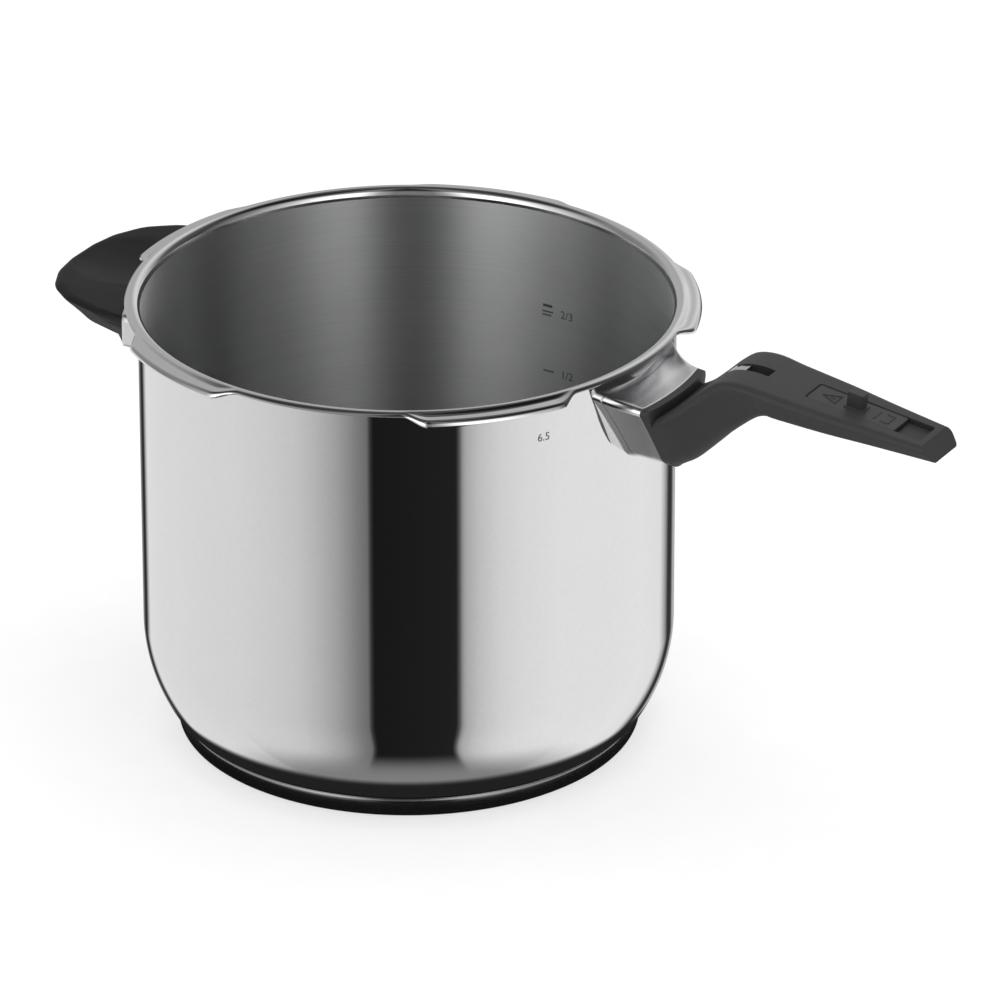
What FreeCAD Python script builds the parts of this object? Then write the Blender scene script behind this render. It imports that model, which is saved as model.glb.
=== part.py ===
import FreeCAD, Part
import os
from math import acos, cos, hypot, radians, sin, sqrt, tan

# Open pot of a stovetop pressure cooker with its long locking handle and short helper handle.
# Millimetres. Origin: centre of the base underside. +Z up, long handle along +X, helper along -X.

# Pot body
WALL_RADIUS = 111.0
POT_HEIGHT = 192.0
SHEET = 1.0
BASE_RADIUS = 97.0
BASE_HEIGHT = 6.5
CAPSULE_SHEET = 0.8
CAPSULE_EDGE_RADIUS = 3.0
CAPSULE_TOP = 8.3
BELLY_RADIUS = 67.0
BELLY_TOP = 48.2
KNUCKLE_RADIUS = 12.0

# Bayonet rim
RIM_ROLL = 3.6
RIM_ROLL_END = 50.0
LUG_COUNT = 5
LUG_FIRST_ANGLE = 30.0
LUG_HALF_ANGLE = 15.8
# Lug section: (radius, drop below the rim, corner radius)
LUG_SECTION = (
    (114.4, 0.25, 0.0),
    (119.9, 1.5, 1.0),
    (121.5, 3.2, 0.8),
    (121.5, 4.4, 0.3),
    (120.5, 4.4, 0.3),
    (120.5, 3.4, 0.3),
    (119.0, 2.6, 0.5),
    (115.2, 1.6, 0.0),
)

# Steel root of the long handle, as cuts through one smooth solid: (x, half width, top, bottom)
ROOT_CUTS = (
    (104.0, 36.0, 186.5, 144.0),
    (112.5, 29.8, 181.3, 146.3),
    (119.5, 27.0, 178.8, 146.0),
    (126.5, 26.3, 177.9, 145.6),
    (133.0, 26.0, 177.9, 145.4),
)
ROOT_SIDE_SLOPE = 0.592
ROOT_CORNER_RADIUS = 2.2
FLANGE_OUTER = 113.2
GUARD_OUTER = 126.0
GUARD_SHEET = 0.9
COLLAR_WIDTH = 3.4
PLUG_INNER = 116.0
SEAM_GAP = 0.1

# Long grip: (top x, top z, bottom x, bottom z, top half width, bottom half width, top and bottom radius)
GRIP_CUTS = (
    (120.0, 173.3, 120.0, 145.8, 24.8, 8.2, 2.0, 13.0),
    (126.5, 173.3, 127.5, 145.8, 24.6, 8.2, 2.0, 13.0),
    (132.5, 175.8, 139.0, 152.2, 23.8, 9.6, 2.0, 11.0),
    (140.3, 182.6, 153.6, 166.6, 22.6, 12.0, 2.5, 8.0),
    (148.6, 190.4, 162.5, 174.6, 21.2, 13.0, 3.0, 7.0),
    (155.5, 195.0, 169.5, 180.0, 20.5, 13.5, 3.0, 6.0),
    (165.0, 196.1, 175.0, 182.2, 20.2, 14.0, 3.0, 5.5),
    (178.0, 194.25, 180.0, 181.9, 19.8, 14.0, 3.0, 5.0),
    (200.0, 191.1, 201.5, 180.6, 18.2, 13.5, 2.8, 4.5),
    (222.0, 187.9, 223.0, 179.5, 15.8, 11.8, 2.5, 3.5),
    (256.0, 183.0, 256.8, 177.6, 12.6, 9.5, 1.8, 2.2),
)
GRIP_END = 250.6
GRIP_END_RADIUS = 9.0
GRIP_END_HALF_WIDTH = 13.3
GRIP_END_SLOPE = ((241.1, 188.0), (253.0, 174.0))
GRIP_PLAN_START = (110.0, 34.0)
COVER_SHEET = 1.8
CAVITY_OUTLINE = ((170.6, 15.6), (200.0, 14.9), (222.0, 12.6), (241.0, 10.4))
FIT_GAP = 0.15

# Arm frame: s runs out along the arm's flat top, h up from it, y across
ARM_ORIGIN = (170.0, 0.0, 195.4)
ARM_FALL = 8.2

# Slider, in the arm frame
TRAVEL = 10.0
PLATE_START = 19.7
PLATE_LENGTH = 40.2
PLATE_HALF_WIDTH = 6.7
PLATE_TOP = -0.3
PLATE_BOTTOM = -2.1
POCKET_FLOOR = -2.4
POCKET_END = 71.8
FLOOR_BOTTOM = -3.6
KNOB_PLACE = 39.3
KNOB_LENGTH = 7.0
KNOB_WIDTH = 5.5
KNOB_TOP = 6.8
CARRIER_START = 32.0
CARRIER_END = 50.0
CARRIER_TOP = -3.75
CARRIER_BOTTOM = -5.8
BOSS_HALF_WIDTH = 2.3
BAR_TOP = -4.2
BAR_BOTTOM = -5.7
BAR_HALF_WIDTH = 3.0
TONGUE_START = -18.0
SLOT_START = -18.8
SLOT_END = 0.5
SLOT_HALF_WIDTH = 3.3
SPRING_LINE = -7.45
SPRING_RADIUS = 1.15
SPRING_WIRE = 0.25
SPRING_START = 4.5
SPRING_END = 26.0
SPRING_TURNS = 9
SPRING_PIN_START = 16.0
SPRING_PIN_RADIUS = 0.8
RIB_THICKNESS = 1.6
TONGUE_SIDE = ((-18.0, -5.7), (-10.2, -5.7), (-10.2, -1.4), (-14.3, -2.85), (-18.0, -5.45))
RIVET_RADIUS = 1.2
RIVET_HEAD_RADIUS = 2.1
RIVET_HEAD_HEIGHT = 0.6

# Screws of the cover (s, y) and of the slider (s), with their radii
COVER_SCREW_PLACES = ((12.0, 10.2), (12.0, -10.2), (66.0, 0.0))
COVER_SCREW_RADIUS = 1.12
COVER_SCREW_HEAD = 2.2
POST_RADIUS = 2.6
SLIDER_SCREW_PLACES = (38.5, 43.5)
SLIDER_SCREW_RADIUS = 1.0
SLIDER_SCREW_HEAD = 1.85
HEAD_HEIGHT = 0.8

# Steel tongue inside the neck of the grip
TANG_THICKNESS = 4.0
TANG_HALF_WIDTH = 8.0
TANG_BEND = (131.0, 159.0)
TANG_RISE = (0.769, 0.639)
TANG_LENGTH = 28.0
TANG_FOOT_LENGTH = 4.5
TANG_FOOT_HALF_WIDTH = 10.5
TANG_FOOT_LOW = 154.0
TANG_FOOT_HIGH = 170.0

# Screw through the neck into the tongue: places along it are measured down out of the neck
SCREW_RADIUS = 2.5
SCREW_PLACE = (147.2, 172.5)
SCREW_TIP = -4.6
SCREW_SEAT = 4.2
WASHER_THICKNESS = 1.0
SCREW_HEAD_RADIUS = 4.2
SCREW_HEAD_HEIGHT = 3.0
SOCKET_RADIUS = 1.6
SOCKET_DEPTH = 1.6
FIXING_WASHER_RADIUS = 4.9
SCREW_WELL_RADIUS = 5.1
CLEARANCE = 0.2

# Helper handle: outline points (distance out, half width) of its top and of its underside
HELPER_WIDEST = ((96.0, 53.5), (122.0, 49.5), (139.0, 44.0), (150.5, 35.0), (157.0, 21.5))
HELPER_END = 159.2
HELPER_END_HALF_WIDTH = 8.0
HELPER_CORNER_RADIUS = 18.0
HELPER_WIDEST_HEIGHT = 175.6
HELPER_TOP = 177.6
HELPER_TOP_INSET = 2.6
HELPER_BOTTOM = 165.0
HELPER_BOTTOM_INSET = 8.0
HELPER_FLANGE_OUTER = 112.8
HELPER_GUARD_OUTER = 118.4
HELPER_GUARD_HALF_WIDTH = 51.5
HELPER_GUARD_LOW = 164.0
HELPER_GUARD_HIGH = 178.6
STUD_SPACING = 22.0
STUD_HEIGHT = 168.8
STUD_RADIUS = 2.0
NUT_RADIUS = 4.0
WASHER_RADIUS = 4.3
STUD_END = 139.0
HELPER_FLANGE_HALF_WIDTH = 44.0
HELPER_FLANGE_LOW = 160.0
HELPER_FLANGE_HIGH = 180.0
HELPER_PLUG_HALF_WIDTH = 42.0
SCOOP_PLACE = -135.0
SCOOP_RADIUS = 120.0
SCOOP_DEPTH = 2.4
NUT_LENGTH = 3.2
NUT_POCKET_START = 130.0
NUT_POCKET_END = 142.0
NUT_POCKET_HALF_WIDTH = 5.5
NUT_POCKET_TOP = 173.4

FAR = 400.0


def vector(x, y, z):
    return FreeCAD.Vector(x, y, z)


def in_side_plane(x, z):
    return vector(x, 0, z)


def in_plan(x, y):
    return vector(x, y, 0)


def rounded_wire(corners, place):
    """Closed wire through (a, b, radius) corners; place(a, b) lays each point in space."""
    count = len(corners)
    stretches = []
    for i in range(count):
        a, b, radius = corners[i]
        to_last = (corners[i - 1][0] - a, corners[i - 1][1] - b)
        to_next = (corners[(i + 1) % count][0] - a, corners[(i + 1) % count][1] - b)
        last_length = hypot(*to_last)
        next_length = hypot(*to_next)
        ua, ub = to_last[0] / last_length, to_last[1] / last_length
        wa, wb = to_next[0] / next_length, to_next[1] / next_length
        half = acos(ua * wa + ub * wb) / 2
        reach = radius / tan(half)
        away = (radius / sin(half) - radius) / hypot(ua + wa, ub + wb)
        start = place(a + ua * reach, b + ub * reach)
        middle = place(a + (ua + wa) * away, b + (ub + wb) * away)
        end = place(a + wa * reach, b + wb * reach)
        stretches.append((start, middle, end, radius))
    edges = []
    for i in range(count):
        start, middle, end, radius = stretches[i]
        if radius > 0:
            edges.append(Part.Arc(start, middle, end).toShape())
        following = stretches[(i + 1) % count][0]
        if end.distanceToPoint(following) > 1e-6:
            edges.append(Part.LineSegment(end, following).toShape())
    return Part.Wire(edges)


def polygon(points, place):
    return rounded_wire([(a, b, 0) for a, b in points], place)


def across(points, half_width):
    """Solid from a side-plane outline, as wide as half_width on each side."""
    face = Part.Face(polygon(points, lambda x, z: vector(x, -half_width, z)))
    return face.extrude(vector(0, 2 * half_width, 0))


def upright(wire, low, high):
    """Solid standing on a plan outline between two heights."""
    face = Part.Face(wire)
    face.translate(vector(0, 0, low))
    return face.extrude(vector(0, 0, high - low))


def between(rows, steps):
    """Rows of numbers with smooth in-between rows added (a Catmull-Rom curve through each column)."""
    filled = []
    last = len(rows) - 1
    for i in range(last):
        four = (rows[max(i - 1, 0)], rows[i], rows[i + 1], rows[min(i + 2, last)])
        for step in range(steps):
            t = step / steps
            filled.append([
                ((-a + 3 * b - 3 * c + d) * t ** 3 + (2 * a - 5 * b + 4 * c - d) * t ** 2 + (c - a) * t) / 2 + b
                for a, b, c, d in zip(*four)
            ])
    return filled + [list(rows[last])]


def loft(wires):
    solid, ruled = True, True
    return Part.makeLoft(wires, solid, ruled)


def ring(inner, outer):
    return Part.makeCylinder(outer, FAR).cut(Part.makeCylinder(inner, FAR))


def rod(start, end, radius):
    line = end - start
    return Part.makeCylinder(radius, line.Length, start, line)


def arm_point(s, y, h):
    """Point of the arm frame in the pot's frame."""
    fall = radians(ARM_FALL)
    x = ARM_ORIGIN[0] + s * cos(fall) + h * sin(fall)
    z = ARM_ORIGIN[2] - s * sin(fall) + h * cos(fall)
    return vector(x, y, z)


def arm_box(s0, s1, half_width, h0, h1, y=0.0):
    corners = [arm_point(s, y - half_width, h) for s, h in ((s0, h0), (s1, h0), (s1, h1), (s0, h1))]
    face = Part.Face(Part.makePolygon(corners + corners[:1]))
    return face.extrude(vector(0, 2 * half_width, 0))


def arm_pin(s, y, h0, h1, radius):
    return rod(arm_point(s, y, h0), arm_point(s, y, h1), radius)


# Pot


def pot_outline():
    """Outer half section of body and base corner, from the axis to the foot of the rim roll."""
    belly = (WALL_RADIUS - BELLY_RADIUS, BELLY_TOP)
    knuckle_rise = BASE_HEIGHT + KNUCKLE_RADIUS
    fall = belly[1] - knuckle_rise
    run = sqrt((BELLY_RADIUS - KNUCKLE_RADIUS) ** 2 - fall ** 2)
    return belly, (belly[0] + run, knuckle_rise), (run, -fall)


def pot_profile(inset):
    """Edges of the pot's section, inset from the outer skin, axis to rim edge."""
    belly, knuckle, lean = pot_outline()
    belly_radius = BELLY_RADIUS - inset
    knuckle_radius = KNUCKLE_RADIUS - inset
    scale = 1 / hypot(*lean)
    direction = (lean[0] * scale, lean[1] * scale)
    floor = BASE_HEIGHT + inset
    wall = WALL_RADIUS - inset

    def on(centre, radius, a, b):
        return vector(centre[0] + radius * a, 0, centre[1] + radius * b)

    def halfway(first, second):
        a, b = first[0] + second[0], first[1] + second[1]
        return a / hypot(a, b), b / hypot(a, b)

    junction = on(belly, belly_radius, *direction)
    knuckle_middle = on(knuckle, knuckle_radius, *halfway((0, -1), direction))
    belly_middle = on(belly, belly_radius, *halfway(direction, (1, 0)))
    roll = (WALL_RADIUS - SHEET + RIM_ROLL, POT_HEIGHT - RIM_ROLL)
    roll_radius = roll[0] - wall
    past = radians(RIM_ROLL_END)
    roll_end = on(roll, roll_radius, sin(past), cos(past))
    roll_middle = on(roll, roll_radius, *halfway((-1, 0.35), (0.35, 1)))
    points = (
        vector(0, 0, floor), vector(knuckle[0], 0, floor), vector(wall, 0, BELLY_TOP), vector(wall, 0, roll[1]))
    return [
        Part.LineSegment(points[0], points[1]).toShape(),
        Part.Arc(points[1], knuckle_middle, junction).toShape(),
        Part.Arc(junction, belly_middle, points[2]).toShape(),
        Part.LineSegment(points[2], points[3]).toShape(),
        Part.Arc(points[3], roll_middle, roll_end).toShape(),
    ]


def turned(edges, start_angle=0.0, angle=360.0):
    face = Part.Face(Part.Wire(Part.sortEdges(edges)[0]))
    solid = face.revolve(vector(0, 0, 0), vector(0, 0, 1), angle)
    solid.rotate(vector(0, 0, 0), vector(0, 0, 1), start_angle)
    return solid


def make_lug(angle):
    """One bayonet lug: a ledge outside the rim roll with a turned-down lip."""
    outline = [(radius, POT_HEIGHT - drop, corner) for radius, drop, corner in LUG_SECTION]
    face = Part.Face(rounded_wire(outline, in_side_plane))
    solid = face.revolve(vector(0, 0, 0), vector(0, 0, 1), 2 * LUG_HALF_ANGLE)
    solid.rotate(vector(0, 0, 0), vector(0, 0, 1), angle - LUG_HALF_ANGLE)
    return solid


def make_pot_shell():
    outer = pot_profile(0.0)
    inner = pot_profile(SHEET)
    closing = [
        Part.LineSegment(vector(0, 0, BASE_HEIGHT), vector(0, 0, BASE_HEIGHT + SHEET)).toShape(),
        Part.LineSegment(outer[-1].Vertexes[-1].Point, inner[-1].Vertexes[-1].Point).toShape(),
    ]
    body = turned(outer + inner + closing)
    lugs = [make_lug(LUG_FIRST_ANGLE + 360.0 / LUG_COUNT * i) for i in range(LUG_COUNT)]
    return body.fuse(lugs).removeSplitter()


def pot_filled():
    """Everything inside the pot's outer skin up to the rim."""
    edges = pot_profile(0.0)[:4]
    top = edges[-1].Vertexes[-1].Point
    edges.append(Part.LineSegment(top, vector(0, 0, top.z)).toShape())
    edges.append(Part.LineSegment(vector(0, 0, top.z), vector(0, 0, BASE_HEIGHT)).toShape())
    return turned(edges)


def make_base():
    """Aluminium disc and the thin steel pan pressed over it."""
    def pan(inset):
        edge = CAPSULE_EDGE_RADIUS - inset
        outline = (
            (0.0, inset, 0.0),
            (BASE_RADIUS - inset, inset, edge),
            (BASE_RADIUS - inset, CAPSULE_TOP, 0.0),
            (0.0, CAPSULE_TOP, 0.0),
        )
        face = Part.Face(rounded_wire(outline, in_side_plane))
        return face.revolve(vector(0, 0, 0), vector(0, 0, 1), 360)

    above = pot_filled()
    inside = pan(CAPSULE_SHEET)
    return inside.cut(above), pan(0.0).cut(inside).cut(above)


# Long handle


def shield(x, half_width, top, bottom):
    """Rounded triangle across the handle's root, point down."""
    point = top - half_width / ROOT_SIDE_SLOPE
    lean = hypot(1.0, ROOT_SIDE_SLOPE) / ROOT_SIDE_SLOPE
    radius = (bottom - point) / (lean - 1)
    edge = ROOT_CORNER_RADIUS
    corners = ((half_width, top, edge), (0.0, point, radius), (-half_width, top, edge))
    return rounded_wire(corners, lambda y, z: vector(x, y, z))


def root_solid(inset=0.0):
    side = (hypot(1.0, ROOT_SIDE_SLOPE) + ROOT_SIDE_SLOPE) * inset
    cuts = between(ROOT_CUTS, 2)
    return loft([shield(x, w - side, top - inset, bottom + inset) for x, w, top, bottom in cuts])


def grip_section(cut):
    top_x, top_z, bottom_x, bottom_z, top_half, bottom_half, top_round, bottom_round = cut
    height = hypot(bottom_x - top_x, bottom_z - top_z)
    lean = ((top_x - bottom_x) / height, (top_z - bottom_z) / height)
    corners = (
        (top_half, height, top_round),
        (bottom_half, 0.0, bottom_round),
        (-bottom_half, 0.0, bottom_round),
        (-top_half, height, top_round),
    )
    return rounded_wire(corners, lambda y, t: vector(bottom_x + lean[0] * t, y, bottom_z + lean[1] * t))


def grip_solid():
    """Neck and arm of the long grip without any hollow, its end sloped and rounded."""
    body = loft([grip_section(cut) for cut in between(GRIP_CUTS, 2)])
    start, start_half = GRIP_PLAN_START
    plan = (
        (start, -start_half, 0.0),
        (GRIP_END, -GRIP_END_HALF_WIDTH, GRIP_END_RADIUS),
        (GRIP_END, GRIP_END_HALF_WIDTH, GRIP_END_RADIUS),
        (start, start_half, 0.0),
    )
    body = body.common(upright(rounded_wire(plan, in_plan), 0.0, FAR))
    (high_x, high_z), (low_x, low_z) = GRIP_END_SLOPE
    beyond_end = ((high_x, high_z), (low_x, low_z), (FAR, low_z), (FAR, high_z))
    return body.cut(across(beyond_end, GRIP_END))


def tang_outline(gap=0.0):
    """Side view of the bent steel bar inside the neck, grown by gap."""
    bend_x, bend_z = TANG_BEND
    rise = TANG_RISE
    half = TANG_THICKNESS / 2 + gap
    start = PLUG_INNER - 3.0
    reach = TANG_LENGTH + gap
    end = (bend_x + rise[0] * reach, bend_z + rise[1] * reach)
    mitre = half * (1 - rise[0]) / rise[1]
    return (
        (start, bend_z - half),
        (bend_x + mitre, bend_z - half),
        (end[0] + rise[1] * half, end[1] - rise[0] * half),
        (end[0] - rise[1] * half, end[1] + rise[0] * half),
        (bend_x - mitre, bend_z + half),
        (start, bend_z + half),
    )


def tang_foot(gap=0.0):
    corner = vector(FLANGE_OUTER - 2.0, -TANG_FOOT_HALF_WIDTH - gap, TANG_FOOT_LOW - gap)
    height = TANG_FOOT_HIGH - TANG_FOOT_LOW
    return Part.makeBox(TANG_FOOT_LENGTH + gap, 2 * (TANG_FOOT_HALF_WIDTH + gap), height + 2 * gap, corner)


def screw_line(distance):
    """Point on the fixing screw's axis, measured down out of the neck's underside."""
    down = (TANG_RISE[1], -TANG_RISE[0])
    return vector(SCREW_PLACE[0] + down[0] * distance, 0, SCREW_PLACE[1] + down[1] * distance)


def make_main_tang():
    shape = across(tang_outline(), TANG_HALF_WIDTH).fuse(tang_foot())
    shape = shape.cut(Part.makeCylinder(FLANGE_OUTER, FAR))
    return shape.cut(rod(screw_line(-9.0), screw_line(9.0), SCREW_RADIUS)).removeSplitter()


def make_fixing_screw():
    under_head = SCREW_SEAT + WASHER_THICKNESS
    head_top = under_head + SCREW_HEAD_HEIGHT
    shaft = rod(screw_line(SCREW_TIP), screw_line(under_head), SCREW_RADIUS - 0.03)
    head = rod(screw_line(under_head), screw_line(head_top), SCREW_HEAD_RADIUS)
    socket = rod(screw_line(head_top - SOCKET_DEPTH), screw_line(head_top + 0.1), SOCKET_RADIUS)
    return shaft.fuse(head).cut(socket).removeSplitter()


def make_fixing_washer():
    top = SCREW_SEAT + WASHER_THICKNESS
    disc = rod(screw_line(SCREW_SEAT), screw_line(top), FIXING_WASHER_RADIUS)
    bore = rod(screw_line(SCREW_SEAT - 0.1), screw_line(top + 0.1), SCREW_RADIUS + 0.1)
    return disc.cut(bore)


def cavity_prism(gap=0.0):
    """Hollow of the arm in plan, open downwards."""
    ends = (gap, 0.0, 0.0, -gap)
    upper = [(x + end, y - gap) for (x, y), end in zip(CAVITY_OUTLINE, ends)]
    lower = [(x, -y) for x, y in reversed(upper)]
    return upright(polygon(upper + lower, in_plan), 165.0, 200.0)


def make_main_grip(solid):
    grip = solid.cut(Part.makeCylinder(GUARD_OUTER + SEAM_GAP, FAR))
    outside = root_solid()
    collar = outside.common(ring(GUARD_OUTER + SEAM_GAP, GUARD_OUTER + COLLAR_WIDTH))
    plug = root_solid(GUARD_SHEET + FIT_GAP).common(ring(PLUG_INNER, GUARD_OUTER + 1.0))
    grip = grip.fuse([collar, plug])

    lifted = solid.copy()
    lifted.translate(vector(0, 0, COVER_SHEET + FIT_GAP))
    below_floor = arm_box(-30.0, 90.0, 40.0, -40.0, FLOOR_BOTTOM)
    cavity = cavity_prism().common(below_floor)
    posts = [arm_pin(s, y, -14.0, FLOOR_BOTTOM + 0.5, POST_RADIUS) for s, y in COVER_SCREW_PLACES]
    rib = arm_box(SPRING_END, SPRING_END + RIB_THICKNESS, 20.0, -14.0, FLOOR_BOTTOM + 0.5)
    rib = rib.cut(arm_box(SPRING_END - 1, SPRING_END + 3, BAR_HALF_WIDTH + 0.4, BAR_BOTTOM - 0.4, 0.0))
    kept = posts[0].fuse(posts[1:] + [rib]).common(lifted).common(cavity)
    grip = grip.cut(cavity).fuse(kept)

    cuts = [
        across(tang_outline(FIT_GAP), TANG_HALF_WIDTH + FIT_GAP),
        tang_foot(FIT_GAP),
        rod(screw_line(SCREW_TIP - 0.6), screw_line(20.0), SCREW_RADIUS + CLEARANCE),
        rod(screw_line(SCREW_SEAT), screw_line(20.0), SCREW_WELL_RADIUS),
        arm_box(SLOT_START, SLOT_END, SLOT_HALF_WIDTH, BAR_BOTTOM - 0.4, 12.0),
        arm_box(SLOT_END - 1, 5.0, SLOT_HALF_WIDTH, BAR_BOTTOM - 0.4, BAR_TOP + 0.3),
        arm_box(PLATE_START - 0.3, POCKET_END, PLATE_HALF_WIDTH + 0.3, POCKET_FLOOR, 3.0),
        arm_box(CARRIER_START + 2.5, CARRIER_END + TRAVEL, BOSS_HALF_WIDTH + 0.3, FLOOR_BOTTOM - 1, 0.0),
        rod(
            arm_point(SPRING_END - 1, 0, SPRING_LINE), arm_point(SPRING_END + 3, 0, SPRING_LINE),
            SPRING_PIN_RADIUS + 0.02),
    ]
    for s, y in COVER_SCREW_PLACES:
        cuts.append(arm_pin(s, y, -16.0, FLOOR_BOTTOM + 0.2, COVER_SCREW_RADIUS + 0.03))
    for shape in cuts:
        grip = grip.cut(shape)
    return grip.removeSplitter()


def underside(solid, s, y):
    """Height, in the arm frame, at which a line across the arm leaves its underside."""
    line = Part.LineSegment(arm_point(s, y, -40.0), arm_point(s, y, -1.0)).toShape()
    inside = line.common(solid)
    return inside.Length * -1.0 - 1.0


def make_main_grip_cover(solid):
    lifted = solid.copy()
    lifted.translate(vector(0, 0, COVER_SHEET))
    cover = solid.common(cavity_prism(FIT_GAP)).cut(lifted)
    for s, y in COVER_SCREW_PLACES:
        cover = cover.cut(arm_pin(s, y, -16.0, 0.0, COVER_SCREW_RADIUS + CLEARANCE))
        head_seat = underside(solid, s, y) + HEAD_HEIGHT
        cover = cover.cut(arm_pin(s, y, -16.0, head_seat, COVER_SCREW_HEAD + CLEARANCE))
    return cover


def make_cover_screws(solid):
    """Self-tapping screws, their heads sunk in the cover."""
    screws = []
    for s, y in COVER_SCREW_PLACES:
        under = underside(solid, s, y)
        head = arm_pin(s, y, under, under + HEAD_HEIGHT - 0.05, COVER_SCREW_HEAD)
        shaft = arm_pin(s, y, under + HEAD_HEIGHT - 0.1, FLOOR_BOTTOM, COVER_SCREW_RADIUS)
        screws.append(head.fuse(shaft).removeSplitter())
    return Part.makeCompound(screws)


def make_slider_plate():
    end = PLATE_START + PLATE_LENGTH
    plate = arm_box(PLATE_START, end, PLATE_HALF_WIDTH, PLATE_BOTTOM, PLATE_TOP)
    plinth = arm_box(
        KNOB_PLACE - 4.3, KNOB_PLACE + 4.5, KNOB_WIDTH / 2 + 0.7, PLATE_TOP - 0.5, PLATE_TOP + 0.6)
    low = KNOB_PLACE - KNOB_LENGTH / 2
    knob = arm_box(low, low + KNOB_LENGTH, KNOB_WIDTH / 2, PLATE_TOP - 0.5, KNOB_TOP)
    shape = plate.fuse([plinth, knob]).removeSplitter()
    for s in SLIDER_SCREW_PLACES:
        shape = shape.cut(arm_pin(s, 0, PLATE_BOTTOM - 0.5, -0.9, SLIDER_SCREW_RADIUS + 0.03))
    return shape


def make_slider_carrier():
    block = arm_box(CARRIER_START, CARRIER_END, 5.5, CARRIER_BOTTOM, CARRIER_TOP)
    boss = arm_box(CARRIER_START + 4, CARRIER_END - 4, BOSS_HALF_WIDTH, CARRIER_TOP - 0.5, PLATE_BOTTOM)
    block = block.fuse(boss)
    block = block.cut(arm_box(CARRIER_START - 1, CARRIER_START + 4.2, BAR_HALF_WIDTH + 0.1, -9.0, BAR_TOP))
    block = block.cut(rivet_bore())
    for s in SLIDER_SCREW_PLACES:
        block = block.cut(arm_pin(s, 0, -9.0, 0.0, SLIDER_SCREW_RADIUS + 0.03))
        block = block.cut(arm_pin(s, 0, -9.0, CARRIER_BOTTOM + HEAD_HEIGHT + 0.1, SLIDER_SCREW_HEAD + 0.1))
    return block.removeSplitter()


def make_slider_screws():
    screws = []
    for s in SLIDER_SCREW_PLACES:
        head_top = CARRIER_BOTTOM + 0.1 + HEAD_HEIGHT
        head = arm_pin(s, 0, CARRIER_BOTTOM + 0.1, head_top, SLIDER_SCREW_HEAD)
        shaft = arm_pin(s, 0, head_top - 0.1, -0.95, SLIDER_SCREW_RADIUS)
        screws.append(head.fuse(shaft).removeSplitter())
    return Part.makeCompound(screws)


def make_lock_bar():
    """Flat bar under the slider; its raised inner end is the tongue in the crown's slot."""
    bar = arm_box(TONGUE_START + 1.0, CARRIER_START + 4.0, BAR_HALF_WIDTH, BAR_BOTTOM, BAR_TOP)
    corners = [arm_point(s, -BAR_HALF_WIDTH, h) for s, h in TONGUE_SIDE]
    tongue = Part.Face(Part.makePolygon(corners + corners[:1])).extrude(vector(0, 2 * BAR_HALF_WIDTH, 0))
    tab = arm_box(SPRING_START - 1.4, SPRING_START - 0.05, 2.4, SPRING_LINE - 1.4, BAR_TOP)
    bar = bar.fuse([tongue, tab]).removeSplitter()
    return bar.cut(rivet_bore())


def rivet_bore():
    return arm_pin(CARRIER_START + 2, 0, -9.0, 0.0, RIVET_RADIUS)


def make_lock_bar_rivet():
    shaft = arm_pin(CARRIER_START + 2, 0, BAR_BOTTOM, CARRIER_TOP, RIVET_RADIUS)
    head = arm_pin(CARRIER_START + 2, 0, BAR_BOTTOM - RIVET_HEAD_HEIGHT, BAR_BOTTOM, RIVET_HEAD_RADIUS)
    return shaft.fuse(head).removeSplitter()


def make_slider_spring():
    """Compression spring between the bar's tab and the rib, around the guide pin."""
    length = SPRING_END - SPRING_START - 2 * SPRING_WIRE - 0.1
    helix = Part.makeHelix(length / SPRING_TURNS, length, SPRING_RADIUS)
    circle = Part.Circle(vector(SPRING_RADIUS, 0, 0), vector(0, 1, 0), SPRING_WIRE).toShape()
    coil = Part.Wire(helix.Edges).makePipeShell([Part.Wire(circle)], True, True)
    along = arm_point(1, 0, 0) - arm_point(0, 0, 0)
    turn = FreeCAD.Rotation(vector(0, 0, 1), along)
    start = arm_point(SPRING_START + SPRING_WIRE + 0.05, 0, SPRING_LINE)
    coil.Placement = FreeCAD.Placement(start, turn)
    return coil


def make_spring_pin():
    end = arm_point(SPRING_END + RIB_THICKNESS, 0, SPRING_LINE)
    return rod(arm_point(SPRING_PIN_START, 0, SPRING_LINE), end, SPRING_PIN_RADIUS)


# Helper handle


def helper_outline(inset):
    """Plan corners of the helper grip, round the free end."""
    side = [(-x + inset * 0.9, y - inset * 0.8, HELPER_CORNER_RADIUS) for x, y in HELPER_WIDEST[1:]]
    first = (-HELPER_WIDEST[0][0], HELPER_WIDEST[0][1] - inset * 0.6, 0.0)
    end = (-HELPER_END + inset, HELPER_END_HALF_WIDTH, HELPER_CORNER_RADIUS)
    half = [first] + side + [end]
    return half + [(x, -y, radius) for x, y, radius in reversed(half)]


def helper_layer(height, inset):
    return rounded_wire(helper_outline(inset), lambda x, y: vector(x, y, height))


def radial_block(inner, outer, half_width, low, high):
    """Curved block hugging the pot on the helper side."""
    shape = Part.makeBox(80.0, 2 * half_width, high - low, vector(-160.0, -half_width, low))
    return shape.common(ring(inner, outer))


def make_helper_flange():
    return radial_block(
        WALL_RADIUS, HELPER_FLANGE_OUTER, HELPER_FLANGE_HALF_WIDTH, HELPER_FLANGE_LOW, HELPER_FLANGE_HIGH)


def make_helper_guard():
    outer = radial_block(
        HELPER_FLANGE_OUTER, HELPER_GUARD_OUTER, HELPER_GUARD_HALF_WIDTH, HELPER_GUARD_LOW, HELPER_GUARD_HIGH)
    inner = radial_block(
        HELPER_FLANGE_OUTER - 1, HELPER_GUARD_OUTER + 1, HELPER_GUARD_HALF_WIDTH - GUARD_SHEET,
        HELPER_GUARD_LOW + GUARD_SHEET, HELPER_GUARD_HIGH - GUARD_SHEET)
    return outer.cut(inner)


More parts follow.
